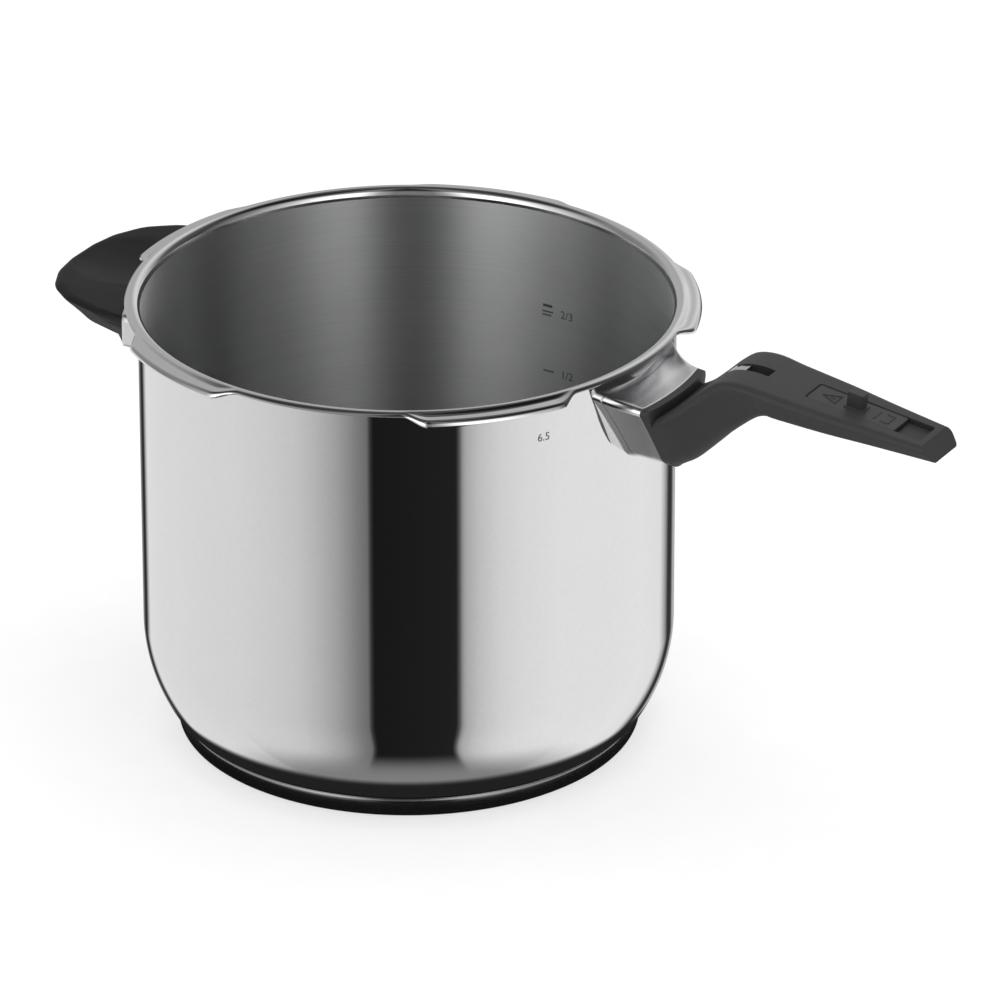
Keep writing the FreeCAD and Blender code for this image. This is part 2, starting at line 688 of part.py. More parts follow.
def make_helper_grip():
    layers = (
        (HELPER_BOTTOM, HELPER_BOTTOM_INSET),
        (HELPER_WIDEST_HEIGHT, 0.0),
        (HELPER_TOP, HELPER_TOP_INSET),
    )
    grip = loft([helper_layer(height, inset) for height, inset in layers])
    grip = grip.cut(Part.makeCylinder(HELPER_GUARD_OUTER + SEAM_GAP, FAR))
    plug = radial_block(
        HELPER_FLANGE_OUTER + 1.5, HELPER_GUARD_OUTER + 1.0, HELPER_PLUG_HALF_WIDTH,
        HELPER_GUARD_LOW + 1.3, HELPER_GUARD_HIGH - 1.6)
    grip = grip.fuse(plug)
    scoop_centre = vector(SCOOP_PLACE, 0, HELPER_TOP - SCOOP_DEPTH + SCOOP_RADIUS)
    grip = grip.cut(Part.makeSphere(SCOOP_RADIUS, scoop_centre))
    for side in (-1, 1):
        y = side * STUD_SPACING
        bore_end = vector(-NUT_POCKET_START - 1, y, STUD_HEIGHT)
        grip = grip.cut(rod(vector(-100, y, STUD_HEIGHT), bore_end, STUD_RADIUS + CLEARANCE))
        pocket = Part.makeBox(
            NUT_POCKET_END - NUT_POCKET_START, 2 * NUT_POCKET_HALF_WIDTH, NUT_POCKET_TOP - 150.0,
            vector(-NUT_POCKET_END, y - NUT_POCKET_HALF_WIDTH, 150.0))
        grip = grip.cut(pocket)
    return grip.removeSplitter()


def per_stud(make):
    return Part.makeCompound([make(side * STUD_SPACING) for side in (-1, 1)])


def make_stud(y):
    shaft = rod(vector(-105.0, y, STUD_HEIGHT), vector(-STUD_END, y, STUD_HEIGHT), STUD_RADIUS)
    return shaft.cut(Part.makeCylinder(HELPER_FLANGE_OUTER, FAR))


def make_washer(y):
    start = vector(-NUT_POCKET_START, y, STUD_HEIGHT)
    end = vector(-NUT_POCKET_START - 1.0, y, STUD_HEIGHT)
    return rod(start, end, WASHER_RADIUS).cut(rod(start, end, STUD_RADIUS + 0.15))


def make_nut(y):
    start = NUT_POCKET_START + 1.0
    corners = [
        vector(-start, y + NUT_RADIUS * cos(radians(60 * i)), STUD_HEIGHT + NUT_RADIUS * sin(radians(60 * i)))
        for i in range(7)
    ]
    body = Part.Face(Part.makePolygon(corners)).extrude(vector(-NUT_LENGTH, 0, 0))
    return body.cut(rod(vector(-start, y, STUD_HEIGHT), vector(-start - 5, y, STUD_HEIGHT), STUD_RADIUS + 0.02))


def main():
    os.makedirs("parts", exist_ok=True)
    core, capsule = make_base()
    root = root_solid()
    arm = grip_solid()
    root_hollow = root_solid(GUARD_SHEET)
    parts = {
        "pot_shell": make_pot_shell(),
        "base_core": core,
        "base_capsule": capsule,
        "main_weld_flange": root.common(ring(WALL_RADIUS, FLANGE_OUTER)),
        "main_flame_guard": root.cut(root_hollow).common(ring(FLANGE_OUTER + SEAM_GAP, GUARD_OUTER)),
        "main_tang": make_main_tang(),
        "main_fixing_screw": make_fixing_screw(),
        "main_fixing_washer": make_fixing_washer(),
        "main_grip": make_main_grip(arm),
        "main_grip_cover": make_main_grip_cover(arm),
        "cover_screws": make_cover_screws(arm),
        "slider_plate": make_slider_plate(),
        "slider_carrier": make_slider_carrier(),
        "slider_screws": make_slider_screws(),
        "lock_bar": make_lock_bar(),
        "lock_bar_rivet": make_lock_bar_rivet(),
        "slider_spring": make_slider_spring(),
        "spring_pin": make_spring_pin(),
        "helper_weld_flange": make_helper_flange(),
        "helper_flame_guard": make_helper_guard(),
        "helper_grip": make_helper_grip(),
        "helper_studs": per_stud(make_stud),
        "helper_washers": per_stud(make_washer),
        "helper_nuts": per_stud(make_nut),
    }
    for name, shape in parts.items():
        shape.exportStep(os.path.join("parts", name + ".step"))
        print(name, "solids", len(shape.Solids), "valid", shape.isValid(), "volume", round(shape.Volume, 1))


main()
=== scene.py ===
from math import asin, cos, hypot, pi, radians, sin, sqrt, tan

import bmesh
import bpy
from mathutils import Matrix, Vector


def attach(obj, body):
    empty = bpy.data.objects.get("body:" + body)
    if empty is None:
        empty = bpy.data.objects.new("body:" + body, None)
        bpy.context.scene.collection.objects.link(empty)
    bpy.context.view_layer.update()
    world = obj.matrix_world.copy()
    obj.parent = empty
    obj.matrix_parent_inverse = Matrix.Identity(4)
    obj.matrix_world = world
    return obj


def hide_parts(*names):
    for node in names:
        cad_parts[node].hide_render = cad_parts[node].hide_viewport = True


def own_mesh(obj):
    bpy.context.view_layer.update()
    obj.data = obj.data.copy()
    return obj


# Open pot of a stovetop pressure cooker. Points are worked out in millimetres in the part's own frame:
# origin at the centre of the base, +Z up, long handle along +X, helper handle along -X.

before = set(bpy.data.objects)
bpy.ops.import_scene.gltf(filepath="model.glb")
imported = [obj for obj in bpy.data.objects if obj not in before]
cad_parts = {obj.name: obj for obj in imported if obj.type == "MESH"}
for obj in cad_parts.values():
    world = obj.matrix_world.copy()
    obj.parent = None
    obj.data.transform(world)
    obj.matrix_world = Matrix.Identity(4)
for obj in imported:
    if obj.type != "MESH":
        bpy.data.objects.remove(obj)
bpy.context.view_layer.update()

MM = 0.001

# Pot and rim: outer radius of the wall, sheet thickness, height, and arcs of the outer skin
WALL = 111
SHEET = 1
TOP = 192
BASE_HEIGHT = 6.5
BELLY_CENTRE = (44, 48.2)
BELLY_RADIUS = 67
KNUCKLE_CENTRE = (90.34, 18.5)
KNUCKLE_RADIUS = 12
WALL_HEIGHTS = (48.7, 51, 58, 80, 110, 140, 165, 180, 186.5, 187.9)
BRUSHED_TOP = TOP - 3.9
ROLL_CENTRE = (113.6, 188.4)
ROLL_RADIUS = 3.6
LUG_ANGLES = (30, 102, 174, 246, 318)
# Degrees from a lug's middle at which it starts to fall off and is gone
LUG_FULL = 13.2
LUG_GONE = 18.4
TURN_STEPS = 480

# Pan that closes the base
PAN_SHEET = 0.8
PAN_FOOT_CENTRE = (94, 3)
PAN_FOOT_RADIUS = 3

# Clearance between a mesh and the wall that it is welded to
WELD_GAP = 0.02

# Steel root of the long handle: (x, half width, top, bottom)
ROOT_CUTS = (
    (100, 39, 189.5, 143),
    (104, 36, 186.5, 144),
    (112.5, 29.8, 181.3, 146.3),
    (119.5, 27, 178.8, 146),
    (126.5, 26.3, 177.9, 145.6),
    (133, 26, 177.9, 145.4),
)
ROOT_STEPS = 20
ROOT_SLOPE = 0.592
ROOT_CORNER = 2.2
PLATE_BACK = WALL + WELD_GAP
PLATE_FRONT = 113.18
PLATE_STEP = 0.43
GUARD_SHEET = 0.9
GUARD_RADII = [113.3, 113.42, 113.8] + [114.5 + 0.85 * i for i in range(13)] + [125.3, 125.85, 126]
EDGE_BREAK = 0.12
COLLAR_BACK = 126.1
LIP_RADIUS = 129.4
VALLEY_HEIGHT = 173.1

# Long grip: (top x, top z, bottom x, bottom z, top half width, bottom half width, top and bottom radius)
GRIP_CUTS = (
    (120, 173.3, 120, 145.8, 24.8, 8.2, 2, 13),
    (126.5, 173.3, 127.5, 145.8, 24.6, 8.2, 2, 13),
    (132.5, 175.8, 139, 152.2, 23.8, 9.6, 2, 11),
    (140.3, 182.6, 153.6, 166.6, 22.6, 12, 2.5, 8),
    (148.6, 190.4, 162.5, 174.6, 21.2, 13, 3, 7),
    (155.5, 195, 169.5, 180, 20.5, 13.5, 3, 6),
    (165, 196.1, 175, 182.2, 20.2, 14, 3, 5.5),
    (178, 194.25, 180, 181.9, 19.8, 14, 3, 5),
    (200, 191.1, 201.5, 180.6, 18.2, 13.5, 2.8, 4.5),
    (222, 187.9, 223, 179.5, 15.8, 11.8, 2.5, 3.5),
    (256, 183, 256.8, 177.6, 12.6, 9.5, 1.8, 2.2),
)
GRIP_STEPS = 12
GRIP_END = 250.55
END_HALF_WIDTH = 13.3
END_ROUND = 9
END_SLOPE = ((241.05, 188), (252.95, 174))
CAVITY_OUTLINE = ((170.6, 15.6), (200, 14.9), (222, 12.6), (241, 10.4))
CAVITY_BOTTOM = 165
COVER_GAP = 0.15
COVER_SHEET = 1.8
FLOOR_BOTTOM = -3.6

# Arm frame: s runs out along the arm's flat top, h up from it, y across
ARM_ORIGIN = (170, 195.4)
ARM_FALL = radians(8.2)

# Cuts in the grip and bars of the slider, in the arm frame:
# (s from, s to, half width, h from, h to, corner radius in plan, and how far the mouth opens)
CROWN_SLOT = (-18.8, 0.5, 3.3, -6.1, 14, 0.5)
BAR_WAY = (-0.5, 6, 3.3, -6.1, -3.9, 0.1)
SLIDER_POCKET = (19.4, 71.8, 7, -2.4, 6, 1.2, 0.25)
CARRIER_SLIT = (34.5, 60, 2.6, -4.6, -1, 0.5)
SLIDER_PLATE = (19.7, 59.9, 6.7, -2.1, -0.3, 1)
KNOB_FOOT = (35, 43.8, 3.45, -1, 0.3, 0.6)
KNOB = (35.8, 42.8, 2.75, -1, 6.8, 0.5)
LOCK_BAR = (-17, 36, 3, -5.7, -4.2, 0.3)
SPRING_TAB = (3.1, 4.45, 2.4, -8.85, -4.5, 0.2)

# Side view (s, h) and half width of the tongue; place and radius of the rivet's hole in the bar
TONGUE_SIDE = ((-18, -5.6), (-10.2, -5.6), (-10.2, -1.4), (-14.3, -2.85), (-18, -5.35))
TONGUE_HALF_WIDTH = 2.9
RIVET_PLACE = 34
RIVET_RADIUS = 1.2

# Raised symbols on the slider plate, as closed or open lines of (s, y) points
SYMBOLS = (
    (((24.2, 0), (31.2, -3.4), (31.2, 3.4)), True),
    (((27.6, 0), (29.6, 0)), False),
    (((49, -3.4), (49, 3.4)), False),
    (((52, -3.4), (55.4, -3.4), (55.4, 3.4), (52, 3.4)), False),
)
SYMBOL_LINE = 0.42
SYMBOL_HEIGHT = -0.38

# Screws of the underside cover: (s, y) places, radii, head height and plan of the cross recess
SCREW_SPOTS = ((12, 10.2), (12, -10.2), (66, 0))
SCREW_HOLE = 2.45
SCREW_HEAD = 2.2
SCREW_SHANK = 1.12
HEAD_HEIGHT = 0.8
CROSS_DEPTH = 0.5
CROSS = [
    (x * c - y * s, x * s + y * c)
    for c, s in ((1, 0), (0, 1), (-1, 0), (0, -1)) for x, y in ((1.3, -0.32), (1.3, 0.32), (0.32, 0.32))]

# Tang inside the neck (side view, half width of its room) and the line of its fixing screw
TANG = ((113, 157), (131.7, 157), (153.8, 175.35), (151.25, 178.4), (130.3, 161), (113, 161))
TANG_ROOM = 8.15
FIXING_SPOT = (147.2, 172.5)
FIXING_DOWN = (0.639, -0.769)
FIXING_SEAT = 5.2

# Return spring round its guide pin
SPRING_START = 4.8
SPRING_LENGTH = 20.9
SPRING_LINE = -7.45
SPRING_RADIUS = 1.15
SPRING_WIRE = 0.25
SPRING_TURNS = 9
SPRING_STEPS = 24
WIRE_STEPS = 8

# Helper handle: corners of its plan as (x, y, radius), and levels of its side as (z, inset)
HELPER_SIDE = (
    (96, 53.5, 0.1), (122, 49.5, 18), (139, 44, 18), (150.5, 35, 18), (157, 21.5, 18))
HELPER_END = 159.2
HELPER_BOTTOM = 165
HELPER_TOP = 177.6
HELPER_LEVELS = (
    (165, 9.2), (165.25, 8.5), (165.9, 7.85), (168.5, 5.9), (172, 3), (174.6, 0.75), (175.4, 0.15),
    (175.9, 0.05), (176.4, 0.35), (176.9, 0.95), (177.35, 1.8), (177.6, 2.9),
)
SCOOP_CENTRE = 135
SCOOP_RADIUS = 120
SCOOP_DEPTH = 2.4
GUARD_FACE = 118.55
STUD_SIDES = (-22, 22)
STUD_HEIGHT = 168.8
STUD_HOLE = 2.2
POCKET = (-142, -130)
POCKET_HALF_WIDTH = 5.5
POCKET_TOP = 173.4

# Steel band of the helper as (radius, inset) round its section, and the strip welded to the wall
BAND_SECTION = (
    (112.8, 0.1), (112.95, 0), (114, 0), (117.2, 0), (118.25, 0), (118.4, 0.1),
    (118.4, 0.8), (118.25, 0.9), (115, 0.9), (112.95, 0.9), (112.8, 0.8),
)
BAND_POINTS = 240
STRIP_CENTRE = 170
STRIP_FRONT = 112.75
STRIP_SHARES = (0.08, 0.25, 0.45, 0.65, 0.85, 0.985)


# Meshes


def placed(name, data):
    obj = bpy.data.objects.new(name, data)
    bpy.context.scene.collection.objects.link(obj)
    return obj


def mesh_of(obj):
    """Mesh of an object with its modifiers applied, or of a curve or text."""
    return bpy.data.meshes.new_from_object(obj.evaluated_get(bpy.context.evaluated_depsgraph_get()))


def make_object(name, points, faces):
    mesh = bpy.data.meshes.new(name)
    mesh.from_pydata([(x * MM, y * MM, z * MM) for x, y, z in points], [], faces)
    return clean(placed(name, mesh))


def clean(obj):
    """Merges doubled points and turns every face outwards."""
    work = bmesh.new()
    work.from_mesh(obj.data)
    bmesh.ops.remove_doubles(work, verts=work.verts, dist=2e-6)
    bmesh.ops.dissolve_degenerate(work, edges=work.edges, dist=1e-6)
    bmesh.ops.recalc_face_normals(work, faces=work.faces)
    if work.calc_volume(signed=True) < 0:
        bmesh.ops.reverse_faces(work, faces=work.faces)
    work.to_mesh(obj.data)
    work.free()
    return obj


def skin(name, rows, ring=False, caps=True):
    """Mesh over rows of points, each row a closed loop; ring joins the last row to the first."""
    count = len(rows[0])
    faces = []
    for i in range(len(rows) if ring else len(rows) - 1):
        a = i * count
        b = (i + 1) % len(rows) * count
        for j in range(count):
            k = (j + 1) % count
            faces.append((a + j, a + k, b + k, b + j))
    if caps and not ring:
        faces.append(tuple(range(count)))
        faces.append(tuple(range((len(rows) - 1) * count, len(rows) * count)))
    return make_object(name, [p for row in rows for p in row], faces)


def carve(obj, tool, how="DIFFERENCE"):
    """Applies one boolean and removes the tool."""
    cut = obj.modifiers.new("cut", "BOOLEAN")
    cut.operation = how
    cut.solver = "EXACT"
    cut.object = tool
    done = mesh_of(obj)
    obj.modifiers.clear()
    obj.data = done
    bpy.data.objects.remove(tool)
    return obj


def copied(obj, name, lift=0):
    other = placed(name, obj.data.copy())
    for vertex in other.data.vertices:
        vertex.co.z += lift * MM
    return other


def joined(name, objects):
    """One object out of several, their meshes side by side."""
    work = bmesh.new()
    for obj in objects:
        work.from_mesh(obj.data)
        bpy.data.objects.remove(obj)
    mesh = bpy.data.meshes.new(name)
    work.to_mesh(mesh)
    work.free()
    return placed(name, mesh)


def softened(obj, width, segments=3, angle=30):
    bevel = obj.modifiers.new("soft edges", "BEVEL")
    bevel.width = width * MM
    bevel.segments = segments
    bevel.limit_method = "ANGLE"
    bevel.angle_limit = radians(angle)
    bevel.harden_normals = True
    return obj


def arc(centre, radius, start, end, steps):
    """Points of an arc in a plane, angles in degrees."""
    return [
        (centre[0] + radius * cos(radians(start + (end - start) * i / steps)),
         centre[1] + radius * sin(radians(start + (end - start) * i / steps)))
        for i in range(steps + 1)
    ]


def rounded(corners, steps=6):
    """Closed outline through (a, b, radius) corners, with a spare point by each end of every straight."""
    points = []
    count = len(corners)
    for i, (a, b, radius) in enumerate(corners):
        last, after = corners[i - 1], corners[(i + 1) % count]
        u = Vector((last[0] - a, last[1] - b)).normalized()
        w = Vector((after[0] - a, after[1] - b)).normalized()
        half = u.angle(w) / 2
        reach = radius / tan(half)
        centre = Vector((a, b)) + (u + w).normalized() * (radius / sin(half))
        first = Vector((a, b)) + u * reach - centre
        final = Vector((a, b)) + w * reach - centre
        turn = final.angle_signed(first) if radius > 0 else 0
        spare = min(0.8, 0.2 * hypot(last[0] - a, last[1] - b))
        points.append(tuple(centre + first + u * spare))
        for k in range(steps + 1):
            c, s = cos(turn * k / steps), sin(turn * k / steps)
            points.append((centre.x + first.x * c - first.y * s, centre.y + first.x * s + first.y * c))
        points.append(tuple(centre + final + w * spare))
    return points


def through(rows, t):
    """Catmull-Rom value at t (in rows) of each column."""
    i = min(int(t), len(rows) - 2)
    t -= i
    four = (rows[max(i - 1, 0)], rows[i], rows[i + 1], rows[min(i + 2, len(rows) - 1)])
    return [
        ((-a + 3 * b - 3 * c + d) * t ** 3 + (2 * a - 5 * b + 4 * c - d) * t ** 2 + (c - a) * t) / 2 + b
        for a, b, c, d in zip(*four)
    ]


def smooth(t):
    t = min(1, max(0, t))
    return t * t * (3 - 2 * t)


def mix(a, b, t):
    return tuple(p + (q - p) * t for p, q in zip(a, b))


def lathe(name, section, steps=TURN_STEPS):
    """Turned mesh; section(angle) gives (radius, height) points, the first and last on the axis."""
    rows = [section(360 * i / steps) for i in range(steps)]
    count = len(rows[0])
    points, faces = [], []
    for i, row in enumerate(rows):
        turn = 2 * pi * i / steps
        points += [(r * cos(turn), r * sin(turn), z) for r, z in row]
    for i in range(steps):
        a, b = i * count, (i + 1) % steps * count
        for j in range(count - 1):
            faces.append((a + j, a + j + 1, b + j + 1, b + j))
    return make_object(name, points, faces)


def arm_point(s, y, h):
    """Point of the arm frame in the part's frame."""
    x = ARM_ORIGIN[0] + s * cos(ARM_FALL) + h * sin(ARM_FALL)
    z = ARM_ORIGIN[1] - s * sin(ARM_FALL) + h * cos(ARM_FALL)
    return (x, y, z)


def arm_block(s0, s1, half, h0, h1, radius=0.01, flare=0, y=0):
    """Block in the arm frame with rounded corners in plan, its mouth opened by flare at height h = 0."""
    def layer(h, grow):
        corners = (
            (s0 - grow, y - half - grow, radius + grow),
            (s1 + grow, y - half - grow, radius + grow),
            (s1 + grow, y + half + grow, radius + grow),
            (s0 - grow, y + half + grow, radius + grow),
        )
        return [arm_point(s, v, h) for s, v in rounded(corners)]
    layers = [layer(h0, 0), layer(h1, 0)]
    if flare:
        layers = [layer(h0, 0), layer(-flare, 0), layer(0, flare), layer(h1, flare)]
    return skin("tool", layers)


def pin(start, end, radius, steps=32, sides=None):
    """Round bar, or a bar with flat sides."""
    a, b = Vector(start), Vector(end)
    along = (b - a).normalized()
    side = along.cross(Vector((0, 1, 0)) if abs(along.y) < 0.9 else Vector((1, 0, 0))).normalized()
    other = along.cross(side)
    count = sides or steps
    def loop(at):
        return [
            tuple(at + side * radius * cos(2 * pi * i / count) + other * radius * sin(2 * pi * i / count))
            for i in range(count)
        ]
    return skin("tool", [loop(a), loop(b)])


# Materials


def fill(tree, node, values):
    """Sets a node's inputs to plain values, or links them to other nodes' outputs."""
    for key, value in values.items():
        if isinstance(value, bpy.types.NodeSocket):
            tree.links.new(value, node.inputs[key])
        else:
            node.inputs[key].default_value = value


def add(tree, kind, values=None, **settings):
    """New shader node with its settings and inputs."""
    node = tree.nodes.new("ShaderNode" + kind)
    for key, value in settings.items():
        setattr(node, key, value)
    fill(tree, node, values or {})
    return node


def worked_out(tree, first, second, operation):
    return add(tree, "Math", {0: first, 1: second}, operation=operation).outputs[0]


def average(tree, first, second):
    return worked_out(tree, worked_out(tree, first, second, "ADD"), 0.5, "MULTIPLY")


def eased(tree, value, start, end, low, high):
    """Goes smoothly from low to high while value goes from start to end."""
    return add(tree, "MapRange", {
        "Value": value, "From Min": start, "From Max": end, "To Min": low, "To Max": high},
        interpolation_type="SMOOTHSTEP").outputs[0]


def plain_coordinates(tree):
    return add(tree, "TexCoord").outputs["Object"]


def lathe_coordinates(tree, around, along):
    """Coordinates drawn out round the pot's axis: fine across the brushing, long beside it."""
    parts = add(tree, "SeparateXYZ", {0: plain_coordinates(tree)})
    flat = add(tree, "CombineXYZ", {0: parts.outputs[0], 1: parts.outputs[1]})
    radius = add(tree, "VectorMath", {0: flat.outputs[0]}, operation="LENGTH")
    climb = worked_out(tree, radius.outputs["Value"], parts.outputs[2], "ADD")
    rise = worked_out(tree, climb, along, "MULTIPLY")
    spread = add(tree, "VectorMath", {0: flat.outputs[0], "Scale": around}, operation="SCALE")
    up = add(tree, "CombineXYZ", {2: rise})
    return add(tree, "VectorMath", {0: spread.outputs[0], 1: up.outputs[0]}).outputs[0]


def noise(tree, where, scale, detail=3, roughness=0.5):
    return add(tree, "TexNoise", {
        "Vector": where, "Scale": scale, "Detail": detail, "Roughness": roughness}).outputs["Fac"]


def spread_to(tree, value, low, high, start=0.3, end=0.7):
    return add(tree, "MapRange", {
        "Value": value, "From Min": start, "From Max": end, "To Min": low, "To Max": high}).outputs[0]


def two_tones(tree, value, dark, light):
    ramp = add(tree, "ValToRGB", {0: value})
    ramp.color_ramp.elements[0].position = 0.3
    ramp.color_ramp.elements[1].position = 0.7
    ramp.color_ramp.elements[0].color = (*dark, 1)
    ramp.color_ramp.elements[1].color = (*light, 1)
    return ramp.outputs[0]


def bumps(tree, height, strength, distance):
    return add(tree, "Bump", {
        "Height": height, "Strength": strength, "Distance": distance}).outputs[0]


def start_material(name, metallic, specular=0.5):
    material = bpy.data.materials.new(name)
    material.use_nodes = True
    shader = material.node_tree.nodes["Principled BSDF"]
    fill(material.node_tree, shader, {"Metallic": metallic, "Specular IOR Level": specular})
    return material, material.node_tree, shader


def metal(name, dark, light, smoothest, roughest, grain=900, bump=0.02, lathed=None, anisotropy=0):
    """Steel or aluminium: colour and roughness wander a little, with fine polishing or brushing marks."""
    material, tree, shader = start_material(name, 1)
    plain = plain_coordinates(tree)
    fine = lathe_coordinates(tree, *lathed) if lathed else plain
    cloud = noise(tree, plain, 14, 4, 0.6)
    marks = noise(tree, fine, 1 if lathed else grain, 2, 0.6)
    half = average(tree, cloud, marks)
    fill(tree, shader, {
        "Base Color": two_tones(tree, half, dark, light),
        "Roughness": spread_to(tree, half, smoothest, roughest),
        "Normal": bumps(tree, marks, bump, 0.0001)})
    if anisotropy:
        tangent = add(tree, "Tangent", direction_type="RADIAL", axis="Z").outputs[0]
        fill(tree, shader, {"Anisotropic": anisotropy, "Anisotropic Rotation": 0.25, "Tangent": tangent})
    return material


def plastic(name, dark, light, smoothest, roughest, grain=2600, bump=0.35, specular=0.3):
    """Moulded black plastic with a fine eroded grain and faint handling marks."""
    material, tree, shader = start_material(name, 0, specular)
    plain = plain_coordinates(tree)
    cloud = noise(tree, plain, 22, 4, 0.6)
    pits = noise(tree, plain, grain, 2, 0.7)
    half = average(tree, cloud, pits)
    fill(tree, shader, {
        "Base Color": two_tones(tree, half, dark, light),
        "Roughness": spread_to(tree, cloud, smoothest, roughest),
        "Normal": bumps(tree, pits, bump, 0.00006)})
    return material


polished = metal("polished_steel", (0.70, 0.70, 0.71), (0.74, 0.74, 0.75), 0.02, 0.05, 500, 0.001)
brushed = metal(
    "brushed_inside", (0.57, 0.575, 0.58), (0.71, 0.715, 0.72), 0.46, 0.54, bump=0.08,
    lathed=(8, 2200), anisotropy=1)
# Steel of the base: its dark colour is painted shade, standing in for the shaded floor that the side of the
# base mirrors; its turning marks are its own
base_steel = metal(
    "base_steel", (0.28, 0.28, 0.285), (0.34, 0.34, 0.345), 0.14, 0.24, bump=0.05, lathed=(9, 2200))
aluminium = metal("aluminium", (0.72, 0.72, 0.73), (0.80, 0.80, 0.80), 0.3, 0.45, 1200, 0.1)
bright = metal("bright_steel", (0.66, 0.66, 0.67), (0.72, 0.72, 0.73), 0.15, 0.20, 500, 0.002)
plated = metal("plated_steel", (0.50, 0.50, 0.51), (0.60, 0.60, 0.60), 0.18, 0.32, 1500, 0.08)
tongue_steel = metal("tongue_steel", (0.62, 0.62, 0.63), (0.72, 0.72, 0.73), 0.12, 0.24, 1600, 0.05)
etched = metal("etched_marks", (0.17, 0.17, 0.17), (0.23, 0.23, 0.23), 0.5, 0.6, 3000, 0.1)
black = plastic("black_plastic", (0.030, 0.030, 0.031), (0.040, 0.040, 0.041), 0.42, 0.56)
helper_black = plastic(
    "helper_plastic", (0.009, 0.009, 0.0095), (0.013, 0.013, 0.0135), 0.44, 0.58, specular=0.16)
slider_black = plastic("slider_plastic", (0.032, 0.032, 0.033), (0.044, 0.044, 0.045), 0.38, 0.5, 2200, 0.3)


def finish_piece(obj, material, nodes=(), body="pot", sharp=35):
    """Gives a mesh its material, shading and body, and hides the CAD nodes that it replaces."""
    obj.data.materials.clear()
    for one in material if isinstance(material, tuple) else (material,):
        obj.data.materials.append(one)
    for face in obj.data.polygons:
        face.use_smooth = True
    obj.data.set_sharp_from_angle(angle=radians(sharp))
    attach(obj, body)
    if nodes:
        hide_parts(*nodes)
    return obj


# Pot


def pot_side(inset):
    """Half section from the axis up to the foot of the rim, inset from the outer skin."""
    lean = Vector((KNUCKLE_CENTRE[0] - BELLY_CENTRE[0], KNUCKLE_CENTRE[1] - BELLY_CENTRE[1]))
    join = -Vector((1, 0)).angle(lean) * 180 / pi
    floor = BASE_HEIGHT + inset
    points = [(0, floor), (30, floor), (60, floor), (85, floor), (89.5, floor)]
    points += arc(KNUCKLE_CENTRE, KNUCKLE_RADIUS - inset, -90, join, 12)
    points += arc(BELLY_CENTRE, BELLY_RADIUS - inset, join, 0, 26)[1:]
    return points + [(WALL - inset, z) for z in WALL_HEIGHTS]


LUG_TOP = (
    (113.6, 192), (114.4, 191.85), (115.2, 191.35), (116, 190.75), (116.9, 190.5), (117.9, 190.45),
    (118.9, 190.4), (119.8, 190.15), (120.5, 189.75), (121, 189.2), (121.3, 188.6), (121.44, 188),
)
LUG_UNDER = (
    (120.55, 187.95), (120.35, 188.55), (119.9, 189), (119.2, 189.3), (118.2, 189.45), (117, 189.5),
    (115.9, 189.75), (115, 190.4), (114.3, 190.85),
)
ROLL_EDGE = ((116.1, 190.25), (115.85, 190.08), (115.68, 190.02))
LUG_EDGE = ((121.36, 187.68), (121, 187.55), (120.62, 187.66))


def rim_part(share):
    """Rim section from the outer wall over the edge to the inner wall; share 1 is a full lug."""
    inner_radius = ROLL_RADIUS - SHEET
    flare = arc(ROLL_CENTRE, ROLL_RADIUS, 90, 40, len(LUG_TOP) - 1)
    under = arc(ROLL_CENTRE, inner_radius, 40, 90, len(LUG_UNDER))[:-1]
    points = arc(ROLL_CENTRE, inner_radius, 180, 90, 10)
    for plain, lug in ((under, LUG_UNDER), (ROLL_EDGE, LUG_EDGE), (flare, LUG_TOP)):
        points += [mix(a, b, share) for a, b in zip(reversed(plain), reversed(lug))]
    return points + arc(ROLL_CENTRE, ROLL_RADIUS, 90, 180, 14)[1:]


OUTER_SIDE = pot_side(0)
INNER_SIDE = list(reversed(pot_side(SHEET)))


def pot_section(angle):
    """Section of the pot at an angle in degrees, with a lug where one is near."""
    near = min(abs((angle - lug + 180) % 360 - 180) for lug in LUG_ANGLES)
    share = smooth((LUG_GONE - near) / (LUG_GONE - LUG_FULL))
    return OUTER_SIDE + rim_part(share) + INNER_SIDE


def make_pot():
    pot = lathe("pot_body", pot_section)
    finish_piece(pot, (polished, brushed), ("pot_shell",), sharp=50)
    for face in pot.data.polygons:
        radius = hypot(face.center.x, face.center.y) / MM
        facing_in = face.normal.x * face.center.x + face.normal.y * face.center.y < 0
        if face.center.z / MM < BRUSHED_TOP and radius < WALL and (facing_in or face.normal.z > 0.5):
            face.material_index = 1


def make_base():
    """Pan under the pot: flat underside, rounded foot, upright wall with a rounded edge."""
    outline = [(0, 0), (40, 0), (80, 0), (92.6, 0), (93.7, 0)]
    outline += arc(PAN_FOOT_CENTRE, PAN_FOOT_RADIUS, -88, 0, 10)
    outline += [(97, 4), (97, 7.4), (96.95, 7.9), (96.8, 8.15), (96.66, 8.25), (96.2, 7.9), (96.2, 3.6)]
    outline += arc(PAN_FOOT_CENTRE, PAN_FOOT_RADIUS - PAN_SHEET, 0, -88, 8)
    outline += [(92, PAN_SHEET), (40, PAN_SHEET), (0, PAN_SHEET)]
    base = lathe("base_disc", lambda angle: outline, 360)
    finish_piece(base, base_steel, ("base_capsule",))


# Root of the long handle


